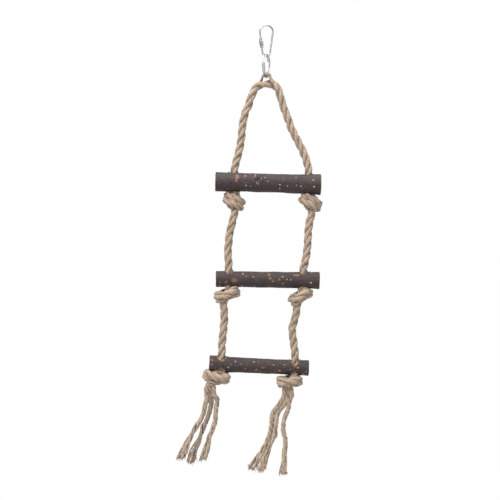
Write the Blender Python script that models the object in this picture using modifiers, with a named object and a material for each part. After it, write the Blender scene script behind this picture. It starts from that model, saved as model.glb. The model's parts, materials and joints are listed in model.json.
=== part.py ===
"""Hanging rope ladder with three bark rungs, a split ring and a pear-shaped screw link.

Units are metres and +Z is up.  The origin is the hang point, the inside of the
link's crown, where a hook or a cage bar bears.  +X runs along the rungs and -Y is
the front.  The rope lies in the plane y = 0.  It is one rope, modelled as one solid
for each stretch, bend and knot, so that each can follow the body it belongs to.
"""

import math

import bmesh
import bpy
from mathutils import Matrix, Vector

MM = 0.001

# ---- driving dimensions -------------------------------------------------------
GAP = 0.3 * MM                  # clearance between pieces that touch

LINK_WIRE_D = 1.6 * MM
LINK_CROWN_R = 5.7 * MM         # wire centreline of the round crown
LINK_BOTTOM_R = 3.4 * MM        # wire centreline of the narrow bottom bend
LINK_LENGTH = 29.0 * MM         # outside, crown to bottom
LINK_MOUTH = 3.2 * MM           # gap in the left leg that the sleeve closes
LINK_MOUTH_BELOW_TOP = 16.8 * MM
SLEEVE_LENGTH = 8.2 * MM
SLEEVE_WALL = 0.6 * MM
SLEEVE_BORE_CLEARANCE = 0.3 * MM
SLEEVE_LAP = 0.5 * MM           # how far the closed sleeve reaches below the mouth

RING_WIRE_D = 1.2 * MM
RING_OUTER_D = 22.0 * MM
RING_COIL_PITCH = 1.5 * MM      # from one coil of the split ring to the other
RING_ON_LINK = 0.4 * MM         # clearance between the ring and the link's wire
RING_YAW = math.radians(14.6)   # the ring's plane, turned out of the YZ plane
RING_END_ANGLE = math.radians(24.0)
RING_JOG_ANGLE = math.radians(30.0)

ROPE_D = 7.2 * MM
STRAND_D = 3.2 * MM             # the strand lifted over the ring
TAIL_STRAND_D = 2.7 * MM
STRAND_ON_RING = 0.8 * MM       # room for the ring's two coils to turn under it
CROWN_UNDER_RING = 1.2 * MM
CROWN_HALF_LENGTH = 8.5 * MM
CROWN_GAP = 0.7 * MM            # between the crown and the legs, where the rope bends

BEND_HALF_LENGTH = 4.9 * MM     # from a fold's axis to each end of the bending stretch
HOLE_CLEARANCE = 0.35 * MM      # round the rope in its hole
RUNG_CHAMFER = 0.5 * MM
KNOT_HALF_DEPTH = 8.0 * MM
ROPE_BELOW_KNOT = 0.9 * MM      # clearance where the rope leaves a knot aslant
STRAIGHT_OUT_OF_HOLE = 3.0 * MM

TAIL_NECK_LENGTH = 3.5 * MM
TAIL_STRAND_PITCH = 3.1 * MM
TAIL_HINGE_ROOM = 2.2 * MM      # from a tail strand's hinge to its solid

# One entry a rung, top to bottom.  drop is from the axis above it, or from the hang
# point; tilt is positive where the right end hangs lower; hole_* are measured along
# the rung from its middle; forward is how far the wood stands in front of the rope.
RUNGS = [
    {"drop": 139.9 * MM, "middle_x": 1.6 * MM, "length": 94.2 * MM, "tilt": 1.6,
     "left_d": 17.8 * MM, "right_d": 18.6 * MM, "hole_left": 30.3 * MM,
     "hole_right": 35.9 * MM, "forward": 1.2 * MM},
    {"drop": 86.2 * MM, "middle_x": 1.2 * MM, "length": 92.5 * MM, "tilt": 0.9,
     "left_d": 14.7 * MM, "right_d": 15.6 * MM, "hole_left": 34.9 * MM,
     "hole_right": 31.7 * MM, "forward": -0.8 * MM},
    {"drop": 77.6 * MM, "middle_x": -6.5 * MM, "length": 89.0 * MM, "tilt": 2.5,
     "left_d": 15.2 * MM, "right_d": 14.1 * MM, "hole_left": 33.8 * MM,
     "hole_right": 31.8 * MM, "forward": -1.6 * MM},
]

# The knots: how far the middle stands off its hole, half length, half height, tilt in
# degrees (positive where the right end is higher), and where the rope leaves it,
# measured from its middle.
KNOTS = {
    ("left", 0): {"off": 0.0 * MM, "half_l": 10.2 * MM, "half_h": 8.6 * MM,
                  "tilt": 0.0, "exit": 0.6 * MM},
    ("right", 0): {"off": 2.6 * MM, "half_l": 11.2 * MM, "half_h": 7.8 * MM,
                   "tilt": -12.0, "exit": 0.6 * MM},
    ("left", 1): {"off": -1.2 * MM, "half_l": 12.0 * MM, "half_h": 5.6 * MM,
                  "tilt": 20.0, "exit": -3.2 * MM},
    ("right", 1): {"off": -2.1 * MM, "half_l": 11.6 * MM, "half_h": 5.6 * MM,
                   "tilt": 20.0, "exit": -3.0 * MM},
    ("left", 2): {"off": -3.0 * MM, "half_l": 12.3 * MM, "half_h": 5.6 * MM,
                  "tilt": -18.0, "exit": -6.6 * MM},
    ("right", 2): {"off": -4.4 * MM, "half_l": 11.8 * MM, "half_h": 4.8 * MM,
                   "tilt": 12.0, "exit": -1.4 * MM},
}

# Rope routes between fixed ends: how far along the straight line from the first end to
# the last, and how far off it, positive towards the outside of the ladder.
LOOP_ROUTE = {
    "left": [(0.22, 2.0 * MM), (0.36, 4.3 * MM), (0.47, 6.8 * MM), (0.60, 8.5 * MM),
             (0.71, 8.2 * MM), (0.84, 8.5 * MM), (0.945, 6.2 * MM)],
    "right": [(0.14, 2.5 * MM), (0.24, 2.9 * MM), (0.34, 2.7 * MM), (0.47, 2.6 * MM),
              (0.58, 3.7 * MM), (0.70, 4.6 * MM), (0.82, 6.3 * MM), (0.90, 6.9 * MM),
              (0.963, 4.7 * MM)],
}
BAY_ROUTE = {
    ("left", 0): [(0.22, 1.4 * MM), (0.42, 2.6 * MM), (0.56, 2.4 * MM),
                  (0.70, 2.3 * MM), (0.86, 1.1 * MM)],
    ("right", 0): [(0.20, -0.8 * MM), (0.38, -0.4 * MM), (0.54, 0.4 * MM),
                   (0.72, 0.9 * MM), (0.88, 0.6 * MM)],
    ("left", 1): [(0.18, -0.8 * MM), (0.34, -1.2 * MM), (0.50, -0.7 * MM),
                  (0.66, -0.4 * MM), (0.84, 0.2 * MM)],
    ("right", 1): [(0.18, -0.9 * MM), (0.32, -2.2 * MM), (0.46, -3.8 * MM),
                   (0.62, -2.8 * MM), (0.80, -1.4 * MM)],
}

# The tail strands, outermost left first: how far right and how far down each point
# lies from the strand's own hinge, in millimetres.
TAIL_ROUTES = {
    "left": [
        [(0.3, 6.0), (-1.3, 11.5), (-2.9, 19.5), (-7.0, 28.0), (-12.2, 36.5),
         (-17.2, 46.0), (-24.0, 60.0)],
        [(0.8, 6.0), (0.9, 10.6), (-1.6, 21.7), (-5.9, 32.0), (-9.3, 42.3),
         (-14.5, 53.3), (-17.8, 63.3)],
        [(3.0, 6.8), (2.2, 14.9), (1.3, 27.0), (-1.6, 35.4), (-6.0, 48.5),
         (-9.9, 60.8)],
    ],
    "right": [
        [(-3.8, 9.1), (-10.2, 17.5), (-11.5, 27.1), (-13.2, 37.4), (-17.9, 47.0),
         (-23.0, 57.0), (-29.2, 67.8)],
        [(-2.9, 9.1), (-9.0, 17.9), (-10.6, 27.1), (-12.2, 37.4), (-16.5, 47.0),
         (-20.6, 57.0), (-23.8, 69.3)],
        [(-1.9, 7.0), (-2.7, 13.4), (-6.6, 24.5), (-7.0, 33.9), (-5.3, 40.8),
         (-5.8, 50.1), (-6.4, 60.5), (-7.2, 71.8)],
    ],
}

# ---- mesh fineness ------------------------------------------------------------
ROPE_POINT_SPACING = 8.0 * MM
STRAND_POINT_SPACING = 6.5 * MM
TUBE_ROUNDNESS = 2
RING_POINTS_A_TURN = 28
LINK_ARC_POINTS = 12
RUNG_SIDES = 24
HOLE_SIDES = 16
KNOT_SEGMENTS = 16
KNOT_RINGS = 10
SLEEVE_SIDES = 6
FINE_STEPS = 12                 # curve samples between two route points
END_SQUARE = 0.7 * MM           # length of a tube's last straight piece at each end

PART_NAME = "hanging_rope_ladder"
SIDES = ("left", "right")
OUTWARD = {"left": -1.0, "right": 1.0}

parts = None
cutters = None


# ---- scene, collections and materials -----------------------------------------
def clear_scene():
    for obj in list(bpy.data.objects):
        bpy.data.objects.remove(obj)


def make_collection(name):
    collection = bpy.data.collections.new(name)
    bpy.context.scene.collection.children.link(collection)
    return collection


def make_material(name, colour, roughness, metallic):
    material = bpy.data.materials.new(name)
    material.use_nodes = True
    shader = material.node_tree.nodes["Principled BSDF"]
    shader.inputs["Base Color"].default_value = (*colour, 1.0)
    shader.inputs["Roughness"].default_value = roughness
    shader.inputs["Metallic"].default_value = metallic
    return material


def make_body(name, pivot):
    """An empty on the joint's axis that the body's pieces are parented to."""
    empty = bpy.data.objects.new("body_" + name, None)
    empty.empty_display_size = 5.0 * MM
    empty.matrix_world = Matrix.Translation(pivot)
    parts.objects.link(empty)
    return empty


def attach(obj, body):
    obj.parent = body
    obj.matrix_parent_inverse = body.matrix_world.inverted()


def add_mesh_object(name, mesh, placement, material):
    """A sub-part in its own named node, placed by its matrix."""
    obj = bpy.data.objects.new(name, mesh)
    obj.matrix_world = placement
    if material is not None:
        mesh.materials.append(material)
        parts.objects.link(obj)
    else:
        obj.hide_render = True
        obj.display_type = "WIRE"
        cutters.objects.link(obj)
    return obj


def shade_round(mesh):
    mesh.shade_smooth()
    mesh.set_sharp_from_angle(angle=math.radians(40.0))


# ---- curves and tubes ---------------------------------------------------------
def smooth_curve(points):
    """A fine polyline on a centripetal Catmull-Rom curve through the points."""
    padded = [points[0] * 2.0 - points[1], *points, points[-1] * 2.0 - points[-2]]
    fine = []
    for a, b, c, d in zip(padded, padded[1:], padded[2:], padded[3:]):
        knot_b = math.sqrt((b - a).length)
        knot_c = knot_b + math.sqrt((c - b).length)
        knot_d = knot_c + math.sqrt((d - c).length)
        for step in range(FINE_STEPS):
            t = knot_b + (knot_c - knot_b) * step / FINE_STEPS
            ab = a.lerp(b, t / knot_b)
            bc = b.lerp(c, (t - knot_b) / (knot_c - knot_b))
            cd = c.lerp(d, (t - knot_c) / (knot_d - knot_c))
            abc = ab.lerp(bc, t / knot_c)
            bcd = bc.lerp(cd, (t - knot_b) / (knot_d - knot_b))
            fine.append(abc.lerp(bcd, (t - knot_b) / (knot_c - knot_b)))
    fine.append(points[-1].copy())
    return fine


def path_length(points):
    return sum((b - a).length for a, b in zip(points, points[1:]))


def point_along(points, distance):
    for a, b in zip(points, points[1:]):
        step = (b - a).length
        if distance <= step:
            return a.lerp(b, distance / step)
        distance -= step
    return points[-1].copy()


def stretch(points, start, end, spacing):
    """Evenly spaced points between two distances along a path.

    One more point stands close to each end, so that the ends of two neighbouring
    stretches face each other squarely.
    """
    inner = [start + END_SQUARE, end - END_SQUARE]
    count = max(1, round((inner[1] - inner[0]) / spacing))
    between = [inner[0] + (inner[1] - inner[0]) * i / count for i in range(count + 1)]
    return [point_along(points, distance) for distance in (start, *between, end)]


def tube(name, points, diameter, material, body):
    """A round tube with closed ends along a polyline."""
    curve = bpy.data.curves.new(name, "CURVE")
    curve.dimensions = "3D"
    curve.bevel_depth = diameter / 2.0
    curve.bevel_resolution = TUBE_ROUNDNESS
    curve.use_fill_caps = True
    spline = curve.splines.new("POLY")
    spline.points.add(len(points) - 1)
    for target, point in zip(spline.points, points):
        target.co = (*point, 1.0)
    curve.materials.append(material)
    obj = bpy.data.objects.new(name, curve)
    parts.objects.link(obj)
    attach(obj, body)
    return obj


def route_between(first, last, offsets, outward):
    """Points off the straight line from first to last, in the rope's plane."""
    along = last - first
    across = Vector((along.z, 0.0, -along.x)).normalized()
    if across.x * outward < 0.0:
        across = -across
    middle = [first + along * share + across * off for share, off in offsets]
    return [first, *middle, last]


# ---- quick link ---------------------------------------------------------------
LINK_CROWN_Z = LINK_WIRE_D / 2.0 - LINK_CROWN_R
LINK_BOTTOM_Z = LINK_WIRE_D - LINK_LENGTH + LINK_WIRE_D / 2.0


def link_leg_ends():
    """Top and bottom of the left leg's centreline."""
    top = Vector((-LINK_CROWN_R, 0.0, LINK_CROWN_Z))
    bottom = Vector((-LINK_BOTTOM_R, 0.0, LINK_BOTTOM_Z + LINK_BOTTOM_R))
    return top, bottom


def arc(centre, radius, start, end, count):
    points = []
    for i in range(count + 1):
        angle = start + (end - start) * i / count
        offset = Vector((math.cos(angle), 0.0, math.sin(angle))) * radius
        points.append(centre + offset)
    return points


def leg_point(height):
    top, bottom = link_leg_ends()
    share = (top.z - height) / (top.z - bottom.z)
    return top.lerp(bottom, share)


def build_link(materials, body):
    """The bent wire of the link, open where the sleeve closes it."""
    mouth_top = LINK_WIRE_D - LINK_MOUTH_BELOW_TOP
    crown = arc(Vector((0.0, 0.0, LINK_CROWN_Z)), LINK_CROWN_R, 0.0, math.pi,
                LINK_ARC_POINTS)
    bottom = arc(Vector((0.0, 0.0, LINK_BOTTOM_Z + LINK_BOTTOM_R)), LINK_BOTTOM_R,
                 math.pi, 2.0 * math.pi, LINK_ARC_POINTS)
    points = [leg_point(mouth_top - LINK_MOUTH), *bottom, *crown, leg_point(mouth_top)]
    tube("link_frame", points, LINK_WIRE_D, materials["zinc"], body)


def sleeve_placement():
    """The closed sleeve's middle on the left leg, with its own Z along the leg."""
    top, bottom = link_leg_ends()
    direction = (top - bottom).normalized()
    lower_end = leg_point(LINK_WIRE_D - LINK_MOUTH_BELOW_TOP - LINK_MOUTH)
    middle = lower_end + direction * (SLEEVE_LENGTH / 2.0 - SLEEVE_LAP)
    turn = Vector((0.0, 0.0, 1.0)).rotation_difference(direction).to_matrix().to_4x4()
    return Matrix.Translation(middle) @ turn


def cylinder_mesh(name, radius, length, sides):
    mesh = bpy.data.meshes.new(name)
    build = bmesh.new()
    bmesh.ops.create_cone(build, cap_ends=True, segments=sides, radius1=radius,
                          radius2=radius, depth=length)
    build.to_mesh(mesh)
    build.free()
    return mesh


def cut_from(obj, cutter):
    modifier = obj.modifiers.new("cut_" + cutter.name, "BOOLEAN")
    modifier.operation = "DIFFERENCE"
    modifier.solver = "EXACT"
    modifier.object = cutter


def build_sleeve(materials, body):
    """The six-sided sleeve, bored to run on the link's wire."""
    bore = LINK_WIRE_D / 2.0 + SLEEVE_BORE_CLEARANCE
    across_corners = (bore + SLEEVE_WALL) / math.cos(math.pi / SLEEVE_SIDES)
    place = sleeve_placement()
    mesh = cylinder_mesh("link_sleeve", across_corners, SLEEVE_LENGTH, SLEEVE_SIDES)
    sleeve = add_mesh_object("link_sleeve", mesh, place, materials["zinc"])
    bore_mesh = cylinder_mesh("sleeve_bore", bore, SLEEVE_LENGTH * 1.5, HOLE_SIDES)
    cutter = add_mesh_object("sleeve_bore", bore_mesh, place, None)
    cut_from(sleeve, cutter)
    attach(sleeve, body)


# ---- split ring ---------------------------------------------------------------
RING_R = (RING_OUTER_D - RING_WIRE_D) / 2.0
RING_TOP_Z = (LINK_BOTTOM_Z + LINK_WIRE_D / 2.0 + RING_ON_LINK + RING_WIRE_D / 2.0)
RING_CENTRE_Z = RING_TOP_Z - RING_R
RING_BOTTOM_Z = RING_CENTRE_Z - RING_R
RING_AXIS = Vector((math.cos(RING_YAW), -math.sin(RING_YAW), 0.0))
RING_SIDEWAYS = Vector((math.sin(RING_YAW), math.cos(RING_YAW), 0.0))


def build_ring(materials, body):
    """Two coils of wire; a short jog carries the wire from one to the other."""
    centre = Vector((0.0, 0.0, RING_CENTRE_Z))
    total = 4.0 * math.pi - 2.0 * RING_END_ANGLE
    count = 2 * RING_POINTS_A_TURN
    points = []
    for i in range(count + 1):
        angle = RING_END_ANGLE + total * i / count
        share = (angle - 2.0 * math.pi + RING_JOG_ANGLE) / (2.0 * RING_JOG_ANGLE)
        share = min(1.0, max(0.0, share))
        level = share * share * (3.0 - 2.0 * share) - 0.5
        round_the_ring = RING_SIDEWAYS * math.cos(angle)
        round_the_ring += Vector((0.0, 0.0, 1.0)) * math.sin(angle)
        points.append(centre + round_the_ring * RING_R
                      + RING_AXIS * (level * RING_COIL_PITCH))
    tube("split_ring", points, RING_WIRE_D, materials["chrome"], body)


# ---- rungs --------------------------------------------------------------------
def rung_frame(index):
    """The rung's middle, its direction to the right and its own upward direction."""
    rung = RUNGS[index]
    height = -sum(r["drop"] for r in RUNGS[:index + 1])
    tilt = math.radians(rung["tilt"])
    right = Vector((math.cos(tilt), 0.0, -math.sin(tilt)))
    up = Vector((math.sin(tilt), 0.0, math.cos(tilt)))
    middle = Vector((rung["middle_x"], -rung["forward"], height))
    return middle, right, up


def hole_along(index, side):
    return RUNGS[index]["hole_" + side] * OUTWARD[side]


def rung_radius(index, along):
    """The wood's radius at a distance along the rung from its middle."""
    rung = RUNGS[index]
    share = along / rung["length"] + 0.5
    diameter = rung["left_d"] + (rung["right_d"] - rung["left_d"]) * share
    return diameter / 2.0


def hole_point(index, side, share):
    """On the hole's axis in the rope's plane: share 1 at its mouth, -1 at its foot."""
    middle, right, up = rung_frame(index)
    along = hole_along(index, side)
    point = middle + right * along + up * (rung_radius(index, along) * share)
    point.y = 0.0
    return point


def build_rung(index, materials, body):
    """A turned billet with a chamfer at each end, drilled for both ropes."""
    rung = RUNGS[index]
    name = "rung_%d" % (index + 1)
    half = rung["length"] / 2.0
    left_r = rung["left_d"] / 2.0
    right_r = rung["right_d"] / 2.0
    profile = [(0.0, half), (right_r - RUNG_CHAMFER, half), (right_r, half - RUNG_CHAMFER),
               (left_r, RUNG_CHAMFER - half), (left_r - RUNG_CHAMFER, -half), (0.0, -half)]
    mesh = bpy.data.meshes.new(name)
    mesh.from_pydata([(r, 0.0, z) for r, z in profile],
                     [(i, i + 1) for i in range(len(profile) - 1)], [])
    middle, right, up = rung_frame(index)
    turn = Matrix((-up, Vector((0.0, 1.0, 0.0)), right)).transposed().to_4x4()
    obj = add_mesh_object(name, mesh, Matrix.Translation(middle) @ turn,
                          materials["bark"])
    screw = obj.modifiers.new("turn", "SCREW")
    screw.steps = RUNG_SIDES
    screw.render_steps = RUNG_SIDES
    screw.use_merge_vertices = True
    screw.merge_threshold = 0.00001
    screw.use_smooth_shade = True
    hole_radius = ROPE_D / 2.0 + HOLE_CLEARANCE
    upright = Vector((0.0, 0.0, 1.0)).rotation_difference(up).to_matrix().to_4x4()
    for side in SIDES:
        hole_name = "%s_hole_%s" % (name, side)
        depth = 2.0 * max(left_r, right_r) * 1.5
        hole_mesh = cylinder_mesh(hole_name, hole_radius, depth, HOLE_SIDES)
        place = Matrix.Translation(hole_point(index, side, 0.0)) @ upright
        cut_from(obj, add_mesh_object(hole_name, hole_mesh, place, None))
    attach(obj, body)


def build_rope_in_hole(index, side, materials, body):
    top = hole_point(index, side, 1.0)
    foot = hole_point(index, side, -1.0)
    along = (foot - top).normalized()
    points = [top + along * GAP, (top + foot) / 2.0, foot - along * GAP]
    tube("rope_in_rung_%d_%s" % (index + 1, side), points, ROPE_D, materials["rope"], body)


# ---- knots --------------------------------------------------------------------
def knot_half_height(knot):
    tilt = math.radians(knot["tilt"])
    return math.hypot(knot["half_l"] * math.sin(tilt), knot["half_h"] * math.cos(tilt))


def knot_middle(index, side):
    """The knot hangs under the wood, its top a clearance below the hole's foot."""
    knot = KNOTS[(side, index)]
    foot = hole_point(index, side, -1.0)
    return foot + Vector((knot["off"], 0.0, -GAP - knot_half_height(knot)))


def knot_underside(index, side, across):
    """Height of the knot's underside at a distance right of its middle."""
    knot = KNOTS[(side, index)]
    tilt = math.radians(knot["tilt"])
    long_part = (math.cos(tilt) / knot["half_l"]) ** 2
    long_part += (math.sin(tilt) / knot["half_h"]) ** 2
    mixed = math.sin(tilt) * math.cos(tilt)
    mixed *= 1.0 / knot["half_l"] ** 2 - 1.0 / knot["half_h"] ** 2
    high_part = (math.sin(tilt) / knot["half_l"]) ** 2
    high_part += (math.cos(tilt) / knot["half_h"]) ** 2
    inside = (mixed * across) ** 2 - high_part * (long_part * across ** 2 - 1.0)
    return -(mixed * across + math.sqrt(max(0.0, inside))) / high_part


def knot_exit(index, side, half_width):
    """Where the rope leaves the knot: clear of its underside over the rope's width."""
    middle = knot_middle(index, side)
    across = KNOTS[(side, index)]["exit"]
    lowest = min(knot_underside(index, side, across + half_width * share)
                 for share in (-1.0, -0.5, 0.0, 0.5, 1.0))
    return middle + Vector((across, 0.0, lowest - ROPE_BELOW_KNOT))


def build_knot(index, side, materials, body):
    knot = KNOTS[(side, index)]
    name = "knot_%d_%s" % (index + 1, side)
    mesh = bpy.data.meshes.new(name)
    build = bmesh.new()
    bmesh.ops.create_uvsphere(build, u_segments=KNOT_SEGMENTS, v_segments=KNOT_RINGS,
                              radius=1.0)
    size = Matrix.Diagonal((knot["half_l"], KNOT_HALF_DEPTH, knot["half_h"], 1.0))
    bmesh.ops.transform(build, matrix=size, verts=build.verts)
    build.to_mesh(mesh)
    build.free()
    shade_round(mesh)
    turn = Matrix.Rotation(-math.radians(knot["tilt"]), 4, "Y")
    place = Matrix.Translation(knot_middle(index, side)) @ turn
    attach(add_mesh_object(name, mesh, place, materials["rope"]), body)


# ---- rope stretches -----------------------------------------------------------
def crown_point():
    height = RING_BOTTOM_Z - RING_WIRE_D / 2.0 - CROWN_UNDER_RING - ROPE_D / 2.0
    return Vector((0.0, 0.0, height))


def above_mouth(index, side):
    """Straight out of the hole, where the rope starts to bend away from its axis."""
    up = rung_frame(index)[2]
    return hole_point(index, side, 1.0) + up * STRAIGHT_OUT_OF_HOLE


def loop_path():
    """From the left mouth of the top rung over the crown to its right mouth."""
    legs = {side: route_between(above_mouth(0, side), crown_point(), LOOP_ROUTE[side],
                                OUTWARD[side]) for side in SIDES}
    return smooth_curve([hole_point(0, "left", 1.0), *legs["left"],
                         *legs["right"][-2::-1], hole_point(0, "right", 1.0)])


def bay_path(index, side):
    """From the knot under one rung to the mouth of the hole in the next."""
    start = knot_exit(index, side, ROPE_D / 2.0)
    route = route_between(start, above_mouth(index + 1, side), BAY_ROUTE[(side, index)],
                          OUTWARD[side])
    return smooth_curve([*route, hole_point(index + 1, side, 1.0)])


def nearest_distance(points, target):
    """Distance along the path of its point nearest to the target."""
    best = min(range(len(points)), key=lambda i: (points[i] - target).length)
    return path_length(points[:best + 1])


def build_loop(materials, loop_body, rung_body):
    rope = materials["rope"]
    path = loop_path()
    total = path_length(path)
    bend = 2.0 * BEND_HALF_LENGTH
    crown = nearest_distance(path, crown_point())
    pieces = [("rope_bend_over_rung_1_left", GAP, bend, rung_body),
              ("rope_loop_left", bend + GAP, crown - CROWN_HALF_LENGTH, loop_body),
              ("rope_crown", crown - CROWN_HALF_LENGTH + CROWN_GAP,
               crown + CROWN_HALF_LENGTH - CROWN_GAP, loop_body),
              ("rope_loop_right", crown + CROWN_HALF_LENGTH, total - bend - GAP, loop_body),
              ("rope_bend_over_rung_1_right", total - bend, total - GAP, rung_body)]
    for name, start, end, body in pieces:
        tube(name, stretch(path, start, end, ROPE_POINT_SPACING / 2.0), ROPE_D, rope, body)


def build_lifted_strand(materials, body):
    """The one strand of the crown that passes over the ring's lower side."""
    ring_top = RING_BOTTOM_Z + RING_WIRE_D / 2.0
    top_z = ring_top + STRAND_ON_RING + STRAND_D / 2.0
    side_x = RING_COIL_PITCH / 2.0 + RING_WIRE_D + STRAND_D / 2.0
    foot_z = crown_point().z + ROPE_D / 2.0 + GAP + STRAND_D / 2.0
    foot_x = CROWN_HALF_LENGTH * 0.68
    points = [Vector((-foot_x, 0.0, foot_z)), Vector((-side_x, 0.0, top_z - 2.2 * MM)),
              Vector((-side_x * 0.5, 0.0, top_z - 0.45 * MM)), Vector((0.0, 0.0, top_z)),
              Vector((side_x * 0.5, 0.0, top_z - 0.45 * MM)),
              Vector((side_x, 0.0, top_z - 2.2 * MM)), Vector((foot_x, 0.0, foot_z))]
    path = smooth_curve(points)
    tube("crown_strand", stretch(path, 0.0, path_length(path), 1.6 * MM), STRAND_D,
         materials["rope"], body)


def build_bay(index, materials, bay_body, rung_body):
    """Both ropes of a bay, each as an upper bend, a run and a lower bend."""
    rope = materials["rope"]
    bend = 2.0 * BEND_HALF_LENGTH
    for side in SIDES:
        path = bay_path(index, side)
        total = path_length(path)
        tube("rope_bend_under_knot_%d_%s" % (index + 1, side),
             stretch(path, 0.0, bend, ROPE_POINT_SPACING / 2.0), ROPE_D, rope, bay_body)
        tube("rope_bay_%d_%s" % (index + 1, side),
             stretch(path, bend + GAP, total - bend - GAP, ROPE_POINT_SPACING), ROPE_D,
             rope, bay_body)
        tube("rope_bend_over_rung_%d_%s" % (index + 2, side),
             stretch(path, total - bend, total - GAP, ROPE_POINT_SPACING / 2.0), ROPE_D,
             rope, rung_body)


# ---- tails --------------------------------------------------------------------
def tail_root(side):
    return knot_exit(len(RUNGS) - 1, side, ROPE_D / 2.0)


def tail_hinge(side, strand):
    across = (strand - 1) * TAIL_STRAND_PITCH
    return tail_root(side) + Vector((across, 0.0, -TAIL_NECK_LENGTH - GAP))


def build_tail_neck(side, materials, body):
    """The last of the laid rope, above the point where its strands part."""
    root = tail_root(side)
    points = [root, root + Vector((0.0, 0.0, -TAIL_NECK_LENGTH))]
    tube("tail_neck_%s" % side, points, ROPE_D, materials["rope"], body)


def build_tail_strand(side, strand, materials, body):
    hinge = tail_hinge(side, strand)
    route = TAIL_ROUTES[side][strand]
    points = [hinge + Vector((0.0, 0.0, -TAIL_HINGE_ROOM))]
    points += [hinge + Vector((right * MM, 0.0, -down * MM)) for right, down in route]
    path = smooth_curve(points)
    tube("tail_strand_%s_%d" % (side, strand + 1),
         stretch(path, 0.0, path_length(path), STRAND_POINT_SPACING), TAIL_STRAND_D,
         materials["rope"], body)


# ---- pivots -------------------------------------------------------------------
def link_pivot():
    """The middle of the wire in the link's bottom bend, where the ring hangs."""
    return Vector((0.0, 0.0, LINK_BOTTOM_Z))


def ring_pivot():
    """The middle of the ring's lower side, where the loop hangs."""
    return Vector((0.0, 0.0, RING_BOTTOM_Z))


def mouth_pivot(index, side):
    """The fold above a rung: half the bend's length above the mouth of its hole."""
    path = loop_path() if index == 0 else bay_path(index - 1, side)
    if index == 0 and side == "left":
        return point_along(path, BEND_HALF_LENGTH)
    return point_along(path, path_length(path) - BEND_HALF_LENGTH)


def knot_pivot(index, side):
    """The fold under a knot."""
    return point_along(bay_path(index, side), BEND_HALF_LENGTH)


def halfway(pivot, index):
    return (pivot(index, "left") + pivot(index, "right")) / 2.0


def make_materials():
    return {
        "bark": make_material("bark", (0.075, 0.06, 0.055), 0.85, 0.0),
        "rope": make_material("rope", (0.45, 0.34, 0.22), 0.9, 0.0),
        "zinc": make_material("zinc", (0.62, 0.63, 0.64), 0.3, 1.0),
        "chrome": make_material("chrome", (0.78, 0.79, 0.8), 0.08, 1.0),
    }


def build_ladder():
    materials = make_materials()
    link = make_body("link", Vector((0.0, 0.0, 0.0)))
    build_link(materials, link)
    build_sleeve(materials, make_body("sleeve", sleeve_placement().translation))
    build_ring(materials, make_body("ring", link_pivot()))
    loop = make_body("loop", ring_pivot())
    rungs = [make_body("rung_%d" % (i + 1), halfway(mouth_pivot, i))
             for i in range(len(RUNGS))]
    build_loop(materials, loop, rungs[0])
    build_lifted_strand(materials, loop)
    for index, rung_body in enumerate(rungs):
        build_rung(index, materials, rung_body)
        for side in SIDES:
            build_rope_in_hole(index, side, materials, rung_body)
            build_knot(index, side, materials, rung_body)
        if index + 1 < len(RUNGS):
            bay = make_body("bay_%d" % (index + 1), halfway(knot_pivot, index))
            build_bay(index, materials, bay, rungs[index + 1])
    for side in SIDES:
        build_tail_neck(side, materials, rungs[-1])
        for strand in range(len(TAIL_ROUTES[side])):
            pivot = tail_hinge(side, strand)
            body = make_body("tail_%s_%d" % (side, strand + 1), pivot)
            build_tail_strand(side, strand, materials, body)


if __name__ == "__main__":
    clear_scene()
    parts = make_collection(PART_NAME)
    cutters = make_collection(PART_NAME + "_cutters")
    build_ladder()
    bpy.context.view_layer.update()
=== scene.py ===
"""Hanging rope ladder: three bark rungs on knotted jute rope, a split ring and a screw link.

Units are metres and +Z is up.  The origin is the hang point, inside the link's crown.
+X runs along the rungs and -Y is the front.  The rope is real three-strand laid rope:
every strand is a tube that winds round the rope's path, with its yarns as ridges.
"""

import json
import math

import bmesh
import bpy
import numpy as np
from bpy.props import (FloatProperty, FloatVectorProperty, IntProperty,
                       PointerProperty)
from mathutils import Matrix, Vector, noise


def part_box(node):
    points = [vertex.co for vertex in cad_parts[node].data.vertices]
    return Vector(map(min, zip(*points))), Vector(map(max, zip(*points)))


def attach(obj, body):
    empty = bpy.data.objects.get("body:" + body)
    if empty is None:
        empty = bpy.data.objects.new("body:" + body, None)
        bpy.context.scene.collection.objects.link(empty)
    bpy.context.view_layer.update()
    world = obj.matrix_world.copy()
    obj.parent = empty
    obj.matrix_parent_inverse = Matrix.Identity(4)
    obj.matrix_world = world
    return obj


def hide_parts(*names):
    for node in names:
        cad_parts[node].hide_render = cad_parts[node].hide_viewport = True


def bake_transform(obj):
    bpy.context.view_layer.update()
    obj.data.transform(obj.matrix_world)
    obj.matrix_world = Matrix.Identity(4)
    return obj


bl_info = {
    "name": "Hanging Rope Ladder",
    "version": (1, 0, 0),
    "blender": (4, 5, 0),
    "location": "View3D > Sidebar > Rope Ladder",
    "description": "Builds the visible pieces of a hanging rope ladder",
    "category": "Object",
}

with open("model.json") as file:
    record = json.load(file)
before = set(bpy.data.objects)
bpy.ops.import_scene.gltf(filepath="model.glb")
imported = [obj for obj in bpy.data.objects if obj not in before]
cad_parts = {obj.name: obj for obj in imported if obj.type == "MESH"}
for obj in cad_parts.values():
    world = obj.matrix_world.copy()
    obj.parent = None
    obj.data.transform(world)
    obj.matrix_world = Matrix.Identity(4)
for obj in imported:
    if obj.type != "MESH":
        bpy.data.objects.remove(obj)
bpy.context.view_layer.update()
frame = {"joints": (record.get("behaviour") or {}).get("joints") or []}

MM = 0.001
SIDES = ("left", "right")
OUTWARD = {"left": -1.0, "right": 1.0}
BACK = np.array((0.0, 1.0, 0.0))
UP = np.array((0.0, 0.0, 1.0))
TURN = 2.0 * math.pi
MAP_SCALE = 100.0               # units of the fibre map to a metre

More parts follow.
